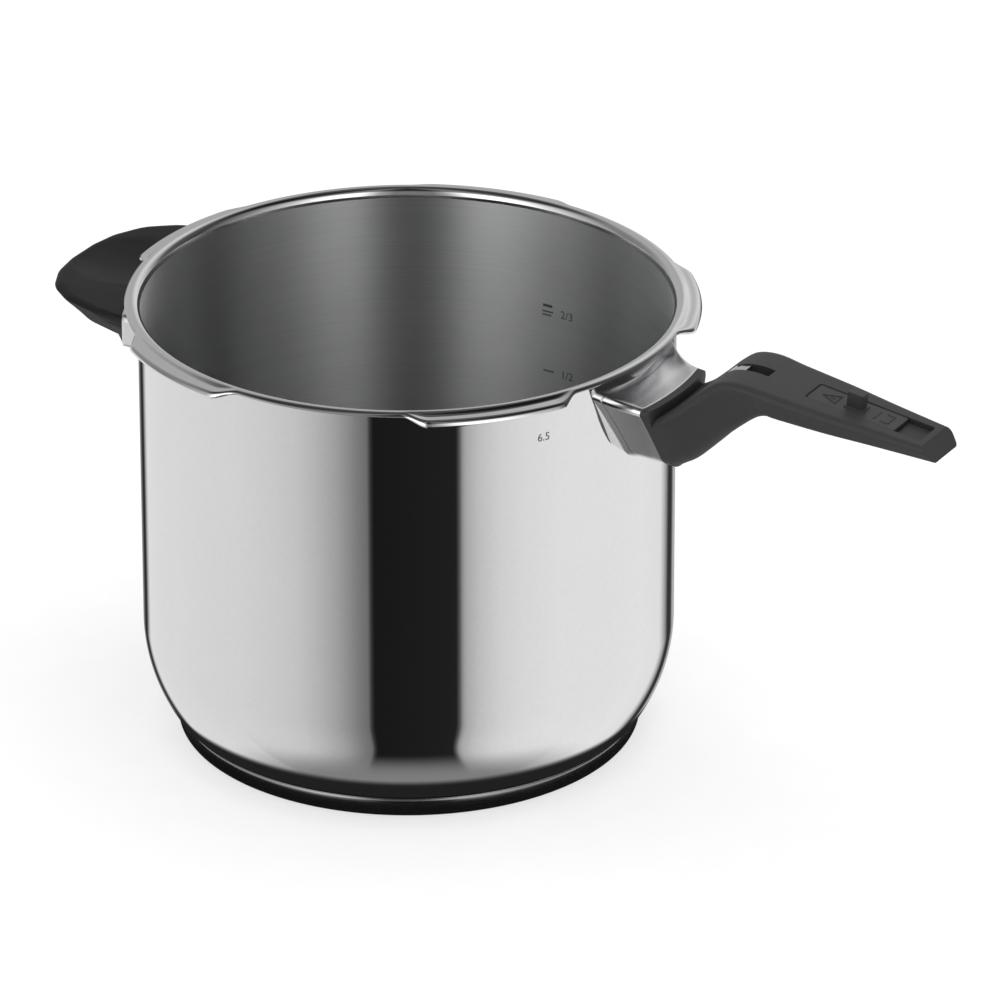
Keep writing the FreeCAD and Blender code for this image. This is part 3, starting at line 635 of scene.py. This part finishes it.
def half_loop(top_half, top, top_round, side_end, side_lean, low_centre, low_radius, flat_end):
    """Right half of a section, top middle to bottom middle: top, corner, side, lower corner, bottom."""
    angle = radians(90) + side_lean
    reach = top_round * tan(angle / 2)
    centre = (top_half - reach, top - top_round)
    first = (centre[0], top)
    points = [mix((0, top), first, t) for t in (0, 0.25, 0.5, 0.75, 0.93)]
    turn = 180 / pi * angle
    points += arc(centre, top_round, 90, 90 - turn, 6)
    points += [mix(points[-1], side_end, t) for t in (0.04, 0.25, 0.5, 0.75, 0.96)]
    lean = 180 / pi * side_lean
    points += arc(low_centre, low_radius, -lean, -90 if flat_end else -90 + 25, 8)
    if flat_end:
        points += [mix(points[-1], flat_end, t) for t in (0.07, 0.5, 1)]
    else:
        points += arc(low_centre, low_radius, -65, -90, 3)[1:]
    return points


def whole_loop(half):
    return half + [(-y, z) for y, z in reversed(half[1:-1])]


def shield(x, half_width, top, bottom):
    """Rounded triangle across the root, point down, as (x, y, z) points."""
    point = top - half_width / ROOT_SLOPE
    stretch = hypot(1, ROOT_SLOPE)
    radius = (bottom - point) / (stretch / ROOT_SLOPE - 1)
    centre = (0, bottom + radius)
    side_end = (radius / stretch, centre[1] - radius * ROOT_SLOPE / stretch)
    lean = asin(ROOT_SLOPE / stretch)
    half = half_loop(half_width, top, ROOT_CORNER, side_end, lean, centre, radius, None)
    return [(x, y, z) for y, z in whole_loop(half)]


def root_places():
    """Values of ROOT_CUTS, ROOT_STEPS to a cut."""
    return [through(ROOT_CUTS, step / ROOT_STEPS) for step in range(ROOT_STEPS * (len(ROOT_CUTS) - 1) + 1)]


def root_rows(inset=0):
    """Sections of the root, inset from its outer skin."""
    side = (hypot(1, ROOT_SLOPE) + ROOT_SLOPE) * inset
    rows = []
    for x, half, top, bottom in root_places():
        rows.append(shield(x, half - side, top - inset, bottom + inset))
    return rows


def at_radius(rows, radius):
    """Loop where a skin of rows is cut by an upright cylinder about the pot's axis."""
    loop = []
    for j in range(len(rows[0])):
        line = [row[j] for row in rows]
        for a, b in zip(line, line[1:]):
            if hypot(b[0], b[1]) >= radius:
                near, far = hypot(a[0], a[1]), hypot(b[0], b[1])
                loop.append(mix(a, b, max(0, (radius - near) / (far - near))))
                break
    return loop


def drawn_in(loop, radius, share, centre_height=164):
    """The loop shrunk towards the handle's middle line, still on its cylinder."""
    points = []
    for x, y, z in loop:
        y *= share
        z = centre_height + (z - centre_height) * share
        points.append((sqrt(radius ** 2 - y ** 2), y, z))
    return points


def cap_rows(loop, radius):
    """Rows that close a loop lying on a cylinder, edge to centre."""
    return [drawn_in(loop, radius, share) for share in (0.85, 0.65, 0.45, 0.25, 0.08)]


outside_root = root_rows()
inside_root = root_rows(GUARD_SHEET)


def make_weld_plate():
    back = at_radius(outside_root, PLATE_BACK)
    front = at_radius(outside_root, PLATE_FRONT)
    rows = list(reversed(cap_rows(back, PLATE_BACK)))
    rows += [at_radius(outside_root, PLATE_BACK + PLATE_STEP * i) for i in range(6)]
    rows += cap_rows(front, PLATE_FRONT)
    finish_piece(skin("weld_plate", rows), bright, ("main_weld_flange",))


def make_flame_guard():
    """Steel sleeve between plate and grip, its two outer edges broken."""
    outer = [at_radius(outside_root, radius) for radius in GUARD_RADII]
    inner = [at_radius(inside_root, radius) for radius in reversed(GUARD_RADII)]
    outer[0] = [mix(a, b, EDGE_BREAK) for a, b in zip(outer[0], inner[-1])]
    outer[-1] = [mix(a, b, EDGE_BREAK) for a, b in zip(outer[-1], inner[0])]
    guard = skin("flame_guard", outer + inner, ring=True)
    finish_piece(guard, bright, ("main_flame_guard",))


# Long grip


def grip_loop(t):
    """Section of the neck and arm at t along GRIP_CUTS."""
    top_x, top_z, low_x, low_z, top_half, low_half, top_round, low_round = through(GRIP_CUTS, t)
    height = hypot(low_x - top_x, low_z - top_z)
    rise = ((top_x - low_x) / height, (top_z - low_z) / height)
    lean = Vector((top_half - low_half, height)).angle(Vector((0, 1)))
    lean_turn = (pi / 2 - lean) / 2
    reach = low_round * tan(lean_turn)
    centre = (low_half - reach, low_round)
    side_end = (centre[0] + low_round * cos(lean), centre[1] - low_round * sin(lean))
    half = half_loop(top_half, height, top_round, side_end, lean, centre, low_round, (0, 0))
    return [(low_x + rise[0] * h, y, low_z + rise[1] * h) for y, h in whole_loop(half)]


def arm_rows(first):
    """Sections from cut number first to the end of the arm."""
    steps = (len(GRIP_CUTS) - 1 - first) * GRIP_STEPS
    return [grip_loop(first + step / GRIP_STEPS) for step in range(steps + 1)]


def neck_rows():
    """From the collar's back over its lip, down into the valley and up the neck."""
    lip = at_radius(outside_root, LIP_RADIUS)
    lowered = []
    for x, half, top, bottom in root_places():
        point = top - half / ROOT_SLOPE
        lowered.append(shield(x, (VALLEY_HEIGHT - point) * ROOT_SLOPE, VALLEY_HEIGHT, bottom))
    valley = at_radius(lowered, LIP_RADIUS)
    rows = list(reversed(cap_rows(at_radius(outside_root, COLLAR_BACK), COLLAR_BACK)))
    rows += [at_radius(outside_root, radius) for radius in (COLLAR_BACK, 126.3, 127, 128, 128.9)]
    rows.append([(x, y * 0.995, z - 0.05) for x, y, z in at_radius(outside_root, 129.25)])
    rows.append([(x, y * 0.985, z - 0.3) for x, y, z in lip])
    rows.append([mix(a, b, 0.55) for a, b in zip(lip, valley)])
    rows.append(valley)
    for step in range(1, GRIP_STEPS + 1):
        t = step / GRIP_STEPS
        rows.append([mix(a, b, smooth(t)) for a, b in zip(valley, grip_loop(1.35 + 0.65 * t))])
    return rows


def make_body_solid():
    """Neck and arm as one closed solid, from which grip and underside cover are cut."""
    solid = skin("body_solid", neck_rows() + arm_rows(2)[1:])
    end_plan = rounded((
        (110, -34, 0.1), (GRIP_END, -END_HALF_WIDTH, END_ROUND),
        (GRIP_END, END_HALF_WIDTH, END_ROUND), (110, 34, 0.1)), 12)
    carve(solid, skin("tool", [[(x, y, z) for x, y in end_plan] for z in (100, 230)]), "INTERSECT")
    end_cut = (END_SLOPE[0], END_SLOPE[1], (280, END_SLOPE[1][1]), (280, END_SLOPE[0][1]))
    return carve(solid, skin("tool", [[(x, y, z) for x, z in end_cut] for y in (-40, 40)]))


def fixing_line(distance):
    return (
        FIXING_SPOT[0] + FIXING_DOWN[0] * distance, 0, FIXING_SPOT[1] + FIXING_DOWN[1] * distance)


def cavity_tool(gap, high):
    """Prism of the arm's hollow, gap smaller all round; high(x) gives the height of its top."""
    half = [(x, y - gap) for x, y in CAVITY_OUTLINE]
    half[0] = (half[0][0] + gap, half[0][1])
    half[-1] = (half[-1][0] - gap, half[-1][1])
    plan = half + [(x, -y) for x, y in reversed(half)]
    return skin("tool", [[(x, y, CAVITY_BOTTOM) for x, y in plan], [(x, y, high(x)) for x, y in plan]])


def floor_height(x):
    s = (x - ARM_ORIGIN[0] - FLOOR_BOTTOM * sin(ARM_FALL)) / cos(ARM_FALL)
    return arm_point(s, 0, FLOOR_BOTTOM)[2]


def underside_height(solid, s, y):
    """Height h of the solid's underside below an arm-frame spot."""
    near = arm_point(s, y, -12)
    low = [p for v in solid.data.vertices for p in [v.co / MM] if p.z < near[2] + 8]
    best = min(
        low, key=lambda p: (p.x - near[0]) ** 2 + (p.y - y) ** 2 + 0.2 * max(0, p.z - near[2]) ** 2)
    return (best.z - ARM_ORIGIN[1] + s * sin(ARM_FALL)) / cos(ARM_FALL)


def make_cover_screw(number, s, y, low):
    """Cross-head screw whose head lies just inside the underside at height low."""
    head = pin(arm_point(s, y, low + 0.05), arm_point(s, y, low + HEAD_HEIGHT), SCREW_HEAD)
    recess = [[arm_point(s + a, y + b, h) for a, b in CROSS] for h in (low - 1, low + CROSS_DEPTH)]
    carve(head, skin("tool", recess))
    head.name = f"cover_screw_{number}_head"
    shank = pin(arm_point(s, y, low + 0.7), arm_point(s, y, FLOOR_BOTTOM), SCREW_SHANK)
    shank.name = f"cover_screw_{number}_shank"
    for piece in (softened(head, 0.15, 2), shank):
        finish_piece(piece, plated, ("cover_screws",))


def make_grip_cover(solid):
    """Underside of the arm's hollow as a shell of its own, with its three screws."""
    cover = carve(copied(solid, "grip_cover"), cavity_tool(COVER_GAP, lambda x: 200), "INTERSECT")
    carve(cover, copied(solid, "lifted", COVER_SHEET))
    for number, (s, y) in enumerate(SCREW_SPOTS, 1):
        low = underside_height(solid, s, y)
        carve(cover, pin(arm_point(s, y, low - 4), arm_point(s, y, low + HEAD_HEIGHT), SCREW_HOLE))
        make_cover_screw(number, s, y, low)
    finish_piece(cover, black, ("main_grip_cover",))


def make_grip(solid):
    """The solid less the arm's hollow, the room of the tang and its screw, and the slider's openings."""
    grip = copied(solid, "long_grip")
    bpy.data.objects.remove(solid)
    carve(grip, cavity_tool(0, floor_height))
    carve(grip, skin("tool", [[(x, side * TANG_ROOM, z) for x, z in TANG] for side in (-1, 1)]))
    carve(grip, pin(fixing_line(-FIXING_SEAT), fixing_line(30), 2.7))
    carve(grip, pin(fixing_line(4.2), fixing_line(30), 5.1, 48))
    for block in (CROWN_SLOT, BAR_WAY, SLIDER_POCKET, CARRIER_SLIT):
        carve(grip, arm_block(*block))
    finish_piece(grip, black, ("main_grip",))


def make_fixing_screw():
    """Hexagon-socket screw that clamps the grip to the tang."""
    head = pin(fixing_line(FIXING_SEAT), fixing_line(8.2), 4.2, 48)
    carve(head, pin(fixing_line(6.4), fixing_line(9), 2.1, sides=6))
    head.name = "fixing_screw_head"
    shaft = pin(fixing_line(-4.6), fixing_line(FIXING_SEAT), 2.47)
    shaft.name = "fixing_screw_shaft"
    for piece in (softened(head, 0.35), shaft):
        finish_piece(piece, plated, ("main_fixing_screw",))


# Slider


def turned_to_mesh(curve):
    holder = placed(curve.name, curve)
    mesh = mesh_of(holder)
    bpy.data.objects.remove(holder)
    return mesh


def raised_line(points, closed):
    """Rounded raised line on the slider's face, through (s, y) points."""
    curve = bpy.data.curves.new("mark", "CURVE")
    curve.dimensions = "3D"
    curve.bevel_depth = SYMBOL_LINE * MM
    curve.bevel_resolution = 3
    curve.use_fill_caps = True
    spline = curve.splines.new("POLY")
    spline.points.add(len(points) - 1)
    for spot, (s, y) in zip(spline.points, points):
        spot.co = (*[v * MM for v in arm_point(s, y, SYMBOL_HEIGHT)], 1)
    spline.use_cyclic_u = closed
    return clean(placed("mark", turned_to_mesh(curve)))


def make_slider_plate():
    """Plate with its thumb knob on a low foot."""
    plate = arm_block(*SLIDER_PLATE)
    carve(plate, arm_block(*KNOB_FOOT), "UNION")
    carve(plate, arm_block(*KNOB), "UNION")
    plate.name = "slider_plate_knob"
    softened(plate, 0.22)
    finish_piece(plate, slider_black, ("slider_plate",), "slider")


def make_slider_symbols():
    symbols = joined("slider_marks", [raised_line(points, closed) for points, closed in SYMBOLS])
    finish_piece(symbols, slider_black, (), "slider")


def make_lock_bar():
    """Bar with the tongue at its pot end, the rivet's hole and the tab that pushes the spring."""
    bar = arm_block(*LOCK_BAR)
    sides = [[arm_point(s, side * TONGUE_HALF_WIDTH, h) for s, h in TONGUE_SIDE] for side in (-1, 1)]
    carve(bar, skin("tool", sides), "UNION")
    carve(bar, pin(arm_point(RIVET_PLACE, 0, -9), arm_point(RIVET_PLACE, 0, -2), RIVET_RADIUS))
    bar = joined("lock_bar_tongue", [bar, arm_block(*SPRING_TAB)])
    softened(bar, 0.2, 2)
    finish_piece(bar, tongue_steel, ("lock_bar",), "slider")


def spring_ring(step):
    """Round section of the spring's wire at a step along its turns."""
    turn = 2 * pi * step / SPRING_STEPS
    centre = SPRING_START + SPRING_LENGTH * step / (SPRING_STEPS * SPRING_TURNS)
    ring = []
    for k in range(WIRE_STEPS):
        side = 2 * pi * k / WIRE_STEPS
        out = SPRING_RADIUS + SPRING_WIRE * cos(side)
        s = centre + SPRING_WIRE * sin(side)
        ring.append(arm_point(s, out * cos(turn), SPRING_LINE + out * sin(turn)))
    return ring


def make_spring():
    """Return spring round its guide pin."""
    spring = skin("return_spring", [spring_ring(i) for i in range(SPRING_STEPS * SPRING_TURNS + 1)])
    finish_piece(spring, plated, ("slider_spring",))
    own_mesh(spring)


# Helper handle


def helper_edge(inset):
    """Plan outline of the helper from one side round to the other, as (x, y) points."""
    side = [(x - inset * 0.9, y - inset * 0.8, r) for x, y, r in HELPER_SIDE[1:]]
    start = (HELPER_SIDE[0][0] - 6, HELPER_SIDE[0][1] + 1.15 - inset * 0.6, 0.05)
    half = [start] + side + [(HELPER_END - inset, 8, 18)]
    corners = half + [(x, -y, r) for x, y, r in reversed(half)]
    points = rounded(corners, 5)
    return points[7:-7]


def helper_point(edge, j, spot):
    """Point spot (0 the edge, 1 the flame guard) across the top or underside from outline point j."""
    x, y = edge[j]
    reach = 50 * (1 - 2 * j / (len(edge) - 1))
    inner = (sqrt(GUARD_FACE ** 2 - reach ** 2), reach)
    if hypot(x, y) < GUARD_FACE:
        x, y = inner
    return mix((x, y), inner, spot)


def scooped(x, y):
    """Height of the top face, lowered by the wide shallow scoop."""
    sphere = sqrt(SCOOP_RADIUS ** 2 - (x - SCOOP_CENTRE) ** 2 - y ** 2)
    return min(HELPER_TOP, HELPER_TOP - SCOOP_DEPTH + SCOOP_RADIUS - sphere)


def helper_row(levels, j):
    """Section of the helper at outline point j: up its side, over the top, down inside, back below."""
    low_edge, high_edge = levels[0][1], levels[-1][1]
    row = [(*helper_point(edge, j, 0), z) for z, edge in levels]
    for k in range(17):
        x, y = helper_point(high_edge, j, 0.04 + 0.96 * k / 16)
        row.append((x, y, scooped(x, y)))
    inner = helper_point(high_edge, j, 1)
    row += [(*inner, z) for z in (175, 170, 165.6, HELPER_BOTTOM)]
    row += [(*helper_point(low_edge, j, 0.9 - 0.86 * k / 8), HELPER_BOTTOM) for k in range(9)]
    return [(-x, y, z) for x, y, z in row]


def make_helper_grip():
    """Scooped handle, with the room of its nuts cut from below and the studs' holes."""
    levels = [(z, helper_edge(inset)) for z, inset in HELPER_LEVELS]
    helper = skin("helper_handle", [helper_row(levels, j) for j in range(len(levels[0][1]))])
    for y in STUD_SIDES:
        low, high = y - POCKET_HALF_WIDTH, y + POCKET_HALF_WIDTH
        far, near = POCKET
        pocket = rounded(((far, low, 1.5), (near, low, 1.5), (near, high, 1.5), (far, high, 1.5)))
        carve(helper, skin("tool", [[(a, b, z) for a, b in pocket] for z in (150, POCKET_TOP)]))
        carve(helper, pin((-112, y, STUD_HEIGHT), (-131, y, STUD_HEIGHT), STUD_HOLE))
    finish_piece(helper, helper_black, ("helper_grip",))


def divided(loop, longest):
    """The loop with its long straights cut into pieces."""
    points = []
    for a, b in zip(loop, loop[1:] + loop[:1]):
        pieces = max(1, int(abs(a[0] - b[0]) / longest))
        points += [mix(a, b, k / pieces) for k in range(pieces)]
    return points


def band_loop(radius, inset):
    """Rounded rectangle on a cylinder, on the helper's side."""
    wide, low, high = 51.5 - inset, 164 + inset, 178.6 - inset
    turn = max(0.6, 3 - inset)
    corners = ((-wide, low, turn), (wide, low, turn), (wide, high, turn), (-wide, high, turn))
    return [(-sqrt(radius ** 2 - y ** 2), y, z) for y, z in divided(rounded(corners), 4)]


def same_count(loop, count):
    """The loop with its points spread evenly to a wanted number."""
    lengths = [0]
    closed = loop + loop[:1]
    for a, b in zip(closed, closed[1:]):
        lengths.append(lengths[-1] + (Vector(a) - Vector(b)).length)
    spread = []
    at = 0
    for k in range(count):
        want = lengths[-1] * k / count
        while lengths[at + 1] < want:
            at += 1
        share = (want - lengths[at]) / (lengths[at + 1] - lengths[at] + 1e-9)
        spread.append(mix(closed[at], closed[at + 1], share))
    return spread


def make_helper_band():
    """Bright band between wall and helper, a rounded rectangle of sheet."""
    rows = [same_count(band_loop(radius, inset), BAND_POINTS) for radius, inset in BAND_SECTION]
    band = skin("helper_flame_band", rows, ring=True)
    finish_piece(band, bright, ("helper_flame_guard",))


def strip_loop(radius, share):
    """Outline of the welded strip on a cylinder, shrunk to share of its size."""
    corners = ((-44, 160, 4), (44, 160, 4), (44, 180, 4), (-44, 180, 4))
    outline = divided(rounded(corners), 3)
    loop = [(y * share, STRIP_CENTRE + (z - STRIP_CENTRE) * share) for y, z in outline]
    return [(-sqrt(radius ** 2 - y ** 2), y, z) for y, z in loop]


def make_helper_strip():
    rows = [strip_loop(PLATE_BACK, share) for share in STRIP_SHARES]
    rows += [strip_loop(WALL + 0.3, 1), strip_loop(112.4, 1)]
    rows += [strip_loop(STRIP_FRONT, share) for share in reversed(STRIP_SHARES)]
    finish_piece(skin("helper_weld_strip", rows), bright, ("helper_weld_flange",))


def make_helper_nut(number, y):
    """Hexagon nut with turned corners."""
    def along(x):
        return (x, y, STUD_HEIGHT)
    nut = pin(along(-131), along(-134.2), 4, sides=6)
    carve(nut, pin(along(-130), along(-136), 3.82, 48), "INTERSECT")
    carve(nut, pin(along(-130), along(-136), 2.02))
    nut.name = f"helper_nut_{number}"
    softened(nut, 0.2, 2)
    finish_piece(nut, plated, ("helper_nuts",))


# Etched marks

INSIDE_WALL = WALL - SHEET - 0.05
OUTSIDE_WALL = WALL + 0.08
ETCH_DEPTH = 0.02


def etch(text, size, radius, angle, height, inside):
    """Shallow numbers wrapped on the pot's wall."""
    curve = bpy.data.curves.new("etch", "FONT")
    curve.body = text
    curve.size = size * MM
    curve.align_x = "CENTER"
    curve.align_y = "CENTER"
    curve.extrude = ETCH_DEPTH * MM
    curve.resolution_u = 4
    mesh = turned_to_mesh(curve)
    points = [vertex.co / MM for vertex in mesh.vertices]
    faces = [tuple(face.vertices) for face in mesh.polygons]
    return wrap([(p.x, p.y, p.z) for p in points], faces, radius, angle, height, inside)


def wrap(points, faces, radius, angle, height, inside):
    """Flat shape laid on the wall; seen from inside it isn't mirrored."""
    placed = []
    for x, y, z in points:
        turn = radians(angle) + (-x if inside else x) / radius
        out = radius - z if inside else radius + z
        placed.append((out * cos(turn), out * sin(turn), height + y))
    return make_object("etch", placed, faces)


def etched_line(length, thick, angle, height):
    """Level line on the inside of the wall."""
    count = 8
    half, deep = thick / 2, ETCH_DEPTH
    points, faces = [], []
    for i in range(count + 1):
        x = length * (i / count - 0.5)
        points += [(x, -half, -deep), (x, half, -deep), (x, half, deep), (x, -half, deep)]
    for i in range(count):
        for j in range(4):
            a, b = 4 * i + j, 4 * i + (j + 1) % 4
            faces.append((a, b, b + 4, a + 4))
    faces += [(0, 1, 2, 3), tuple(4 * count + j for j in range(4))]
    return wrap(points, faces, INSIDE_WALL, angle, height, True)


def make_marks():
    """Fill lines with their numbers inside, and the capacity outside."""
    fill = joined("fill_marks", [
        etched_line(4.6, 1.3, 87.9, 145.3),
        etched_line(5.4, 0.7, 87.9, 142.6),
        etched_line(4.4, 0.7, 88.1, 141),
        etch("2/3", 5.2, INSIDE_WALL, 82.8, 142.6, True),
        etched_line(5.4, 0.7, 87.6, 115),
        etch("1/2", 5.2, INSIDE_WALL, 82.7, 114.8, True),
    ])
    finish_piece(fill, etched)
    capacity = joined("capacity_mark", [etch("6.5", 4.8, OUTSIDE_WALL, -29.8, 172.2, False)])
    finish_piece(capacity, etched)


# All pieces

make_pot()
make_base()
make_weld_plate()
make_flame_guard()
body_solid = make_body_solid()
make_grip_cover(body_solid)
make_grip(body_solid)
make_fixing_screw()
make_slider_plate()
make_slider_symbols()
make_lock_bar()
make_spring()
make_helper_grip()
make_helper_band()
make_helper_strip()
for number, y in enumerate(STUD_SIDES, 1):
    make_helper_nut(number, y)
make_marks()

# CAD nodes that keep their own mesh
for node, material in (
    ("base_core", aluminium), ("main_tang", plated), ("main_fixing_washer", plated),
    ("slider_carrier", slider_black), ("slider_screws", plated), ("lock_bar_rivet", plated),
    ("spring_pin", plated), ("helper_studs", plated), ("helper_washers", plated),
):
    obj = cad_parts[node]
    obj.data.materials.clear()
    obj.data.materials.append(material)


# Stage

CAMERA_TURN = radians(30)
CAMERA_RISE = radians(25.5)
CAMERA_DISTANCE = 3.5
CAMERA_TARGET = Vector((0.0331, 0.0191, 0.0985))
CAMERA_LENS = 302.7
TOWARD_CAMERA = (sin(CAMERA_TURN), -cos(CAMERA_TURN), 0)
BESIDE_CAMERA = (cos(CAMERA_TURN), sin(CAMERA_TURN), 0)
FLOOR_REACH = 9
FLOOR_GLOW = 0.68

# Painted shadow that only mirrors see: a dark disc close round the base, standing in for the pot's shade on
# the pale floor, with a low upright ring that the side of the base mirrors
SHADOW_DISC_OUTLINE = (
    (0, 0.04), (60, 0.04), (102.8, 0.04), (103, 4.5), (103.2, 0.04), (145, 0.04), (145, 0.02),
    (60, 0.02), (0, 0.02),
)
SHADOW_DISC_SHIFT = 0.006
SHADOW_DISC_FADE = (0.0995, 0.106)

# Studio seen by reflections, as (angle from the camera, level): two tall soft panels with a narrow gap
# by the camera and one behind
PANELS = (
    (-180, 0.35), (-170, 0.30), (-163, 0.03), (-158, 0.03), (-151, 0.90), (-118, 0.92),
    (-79, 0.88), (-58, 0.80), (-48, 0.74), (-39, 0.62), (-30, 0.47), (-21, 0.27), (-16.5, 0.20),
    (-15.2, 0.012), (22, 0.018), (24.5, 0.50), (31, 0.70), (40, 0.85), (50, 0.93), (69, 1),
    (121, 1.02), (141, 0.94), (147, 0.5), (153, 0.04), (160, 0.04), (166, 0.5), (180, 0.35),
)
# The same above the horizon, where the back is lit as well
UPPER_PANELS = (
    (-180, 0.50), (-148, 0.52), (-125, 0.30), (-105, 0.25), (-80, 0.60), (-62, 1.00),
    (-44, 1.90), (-30, 1.90), (-17, 0.50), (-11, 0.24), (6, 0.24), (13, 0.50), (23, 1.75),
    (36, 1.60), (52, 0.75), (74, 0.30), (100, 0.06), (126, 0.12), (146, 0.70), (160, 0.85),
    (180, 0.50),
)


def make_floor():
    """Plain pale floor, seen by everything but mirrors."""
    mesh = bpy.data.meshes.new("floor")
    far = FLOOR_REACH
    mesh.from_pydata([(-far, -far, 0), (far, -far, 0), (far, far, 0), (-far, far, 0)], [], [(0, 1, 2, 3)])
    floor = placed("floor", mesh)
    floor.visible_glossy = False
    material, tree, shader = start_material("floor_paper", 0, 0.2)
    paper = noise(tree, plain_coordinates(tree), 60, 4, 0.6)
    tones = two_tones(tree, paper, (0.31, 0.31, 0.31), (0.33, 0.33, 0.33))
    fill(tree, shader, {
        "Base Color": tones, "Roughness": 0.9,
        "Emission Color": (1, 1, 1, 1), "Emission Strength": FLOOR_GLOW})
    mesh.materials.append(material)


def make_painted_shadow_disc():
    """Painted shadow: a dark disc that only mirrors see, standing in for the shaded floor round the base,
    clear beyond a soft edge.
    """
    disc = lathe("painted_shadow_disc", lambda angle: SHADOW_DISC_OUTLINE, 96)
    for ray in ("camera", "diffuse", "shadow", "transmission", "volume_scatter"):
        setattr(disc, f"visible_{ray}", False)
    material = bpy.data.materials.new("painted_shadow_disc")
    material.use_nodes = True
    tree = material.node_tree
    tree.nodes.clear()
    middle = tuple(SHADOW_DISC_SHIFT * part for part in TOWARD_CAMERA)
    spot = add(tree, "VectorMath", {0: plain_coordinates(tree), 1: middle}, operation="DISTANCE")
    fade = eased(tree, spot.outputs["Value"], *SHADOW_DISC_FADE, 0, 1)
    # Near-black glow of the painted shadow
    dark = add(tree, "Emission", {"Color": (0.02, 0.02, 0.02, 1)})
    clear = add(tree, "BsdfTransparent")
    faded = add(tree, "MixShader", {0: fade, 1: dark.outputs[0], 2: clear.outputs[0]})
    add(tree, "OutputMaterial", {0: faded.outputs[0]})
    disc.data.materials.append(material)


def ring_of_light(tree, place, panels):
    """Brightness round the horizon, as (angle from the camera, level) stops."""
    ramp = add(tree, "ValToRGB", {0: place})
    stops = ramp.color_ramp.elements
    for angle, level in panels[1:-1]:
        stops.new((angle + 180) / 360).color = (level, level, level, 1)
    stops[0].color = (*[panels[0][1]] * 3, 1)
    stops[len(stops) - 1].color = (*[panels[-1][1]] * 3, 1)
    return ramp.outputs[0]


def turn_from_camera(tree, direction, height):
    """Angle of a direction about the pot, 0 to 1; steep rays below the camera are drawn to its middle."""
    along, sideways = [
        add(tree, "VectorMath", {0: direction, 1: axis}, operation="DOT_PRODUCT").outputs["Value"]
        for axis in (TOWARD_CAMERA, BESIDE_CAMERA)]
    steep = eased(tree, height, -0.95, -0.55, 0.6, 0)
    drawn = worked_out(tree, steep, worked_out(tree, along, 0, "GREATER_THAN"), "MULTIPLY")
    below = add(tree, "CombineXYZ", {0: along, 1: drawn}).outputs[0]
    reach = add(tree, "VectorMath", {0: below}, operation="LENGTH").outputs["Value"]
    sense = add(tree, "Math", {0: along}, operation="SIGN").outputs[0]
    turn = worked_out(tree, sideways, worked_out(tree, reach, sense, "MULTIPLY"), "ARCTAN2")
    return spread_to(tree, turn, 0, 1, -pi, pi)


def even_light(tree, strength):
    return add(tree, "Background", {"Color": (1, 1, 1, 1), "Strength": strength}).outputs[0]


def make_studio():
    """White behind the object, an even dome for matt surfaces and the panels for mirrors."""
    world = bpy.data.worlds.new("studio")
    bpy.context.scene.world = world
    world.use_nodes = True
    world.cycles.sampling_method = "NONE"
    tree = world.node_tree
    tree.nodes.clear()
    path = add(tree, "LightPath").outputs
    direction = add(tree, "TexCoord").outputs["Generated"]
    height = add(tree, "SeparateXYZ", {0: direction}).outputs[2]
    place = turn_from_camera(tree, direction, height)
    panel = add(tree, "Mix", data_type="RGBA")
    fill(tree, panel, {
        0: eased(tree, height, -0.2, 0.1, 0, 1),
        6: ring_of_light(tree, place, PANELS),
        7: ring_of_light(tree, place, UPPER_PANELS)})
    low_end = eased(tree, height, -1, -0.88, 0.1, 1)
    high_end = eased(tree, height, 0.66, 0.88, 1, 0.14)
    both_ends = worked_out(tree, low_end, high_end, "MULTIPLY")
    panels = add(tree, "Background", {"Color": panel.outputs[2], "Strength": both_ends}).outputs[0]

    # Soft grey below for what is seen by way of two mirrors, such as the flank of the flame guard
    downward = eased(tree, height, -0.95, -0.75, 1, 0)
    second = worked_out(tree, path["Ray Depth"], 1.5, "GREATER_THAN")
    shader = add(tree, "MixShader", {
        0: worked_out(tree, downward, second, "MULTIPLY"), 1: panels, 2: even_light(tree, 0.28)}).outputs[0]
    shader = add(tree, "MixShader", {
        0: path["Is Glossy Ray"], 1: even_light(tree, 0.80), 2: shader}).outputs[0]
    shader = add(tree, "MixShader", {
        0: path["Is Camera Ray"], 1: shader, 2: even_light(tree, 1)}).outputs[0]
    add(tree, "OutputWorld", {0: shader})


def aim(obj, direction):
    """Turns a light or camera to look along a direction."""
    obj.rotation_mode = "QUATERNION"
    obj.rotation_quaternion = direction.to_track_quat("-Z", "Y")


def make_overhead_light():
    """Large soft light above and behind, kept out of the mirrors."""
    light = bpy.data.lights.new("overhead", "AREA")
    light.shape = "DISK"
    light.size = 1.8
    light.energy = 26
    holder = placed("overhead", light)
    holder.location = (0.1, 0.2, 2.4)
    aim(holder, Vector((0.03, 0, 0.1)) - holder.location)
    holder.visible_glossy = False


def make_camera():
    camera = placed("camera", bpy.data.cameras.new("camera"))
    back = Vector((
        sin(CAMERA_TURN) * cos(CAMERA_RISE), -cos(CAMERA_TURN) * cos(CAMERA_RISE), sin(CAMERA_RISE)))
    camera.location = CAMERA_TARGET + back * CAMERA_DISTANCE
    aim(camera, -back)
    camera.data.lens = CAMERA_LENS
    camera.data.sensor_width = 36
    camera.data.clip_end = 50
    bpy.context.scene.camera = camera


make_floor()
make_painted_shadow_disc()
make_studio()
make_overhead_light()
make_camera()
bpy.context.scene.view_settings.view_transform = "Standard"
bpy.context.scene.cycles.glossy_bounces = 8
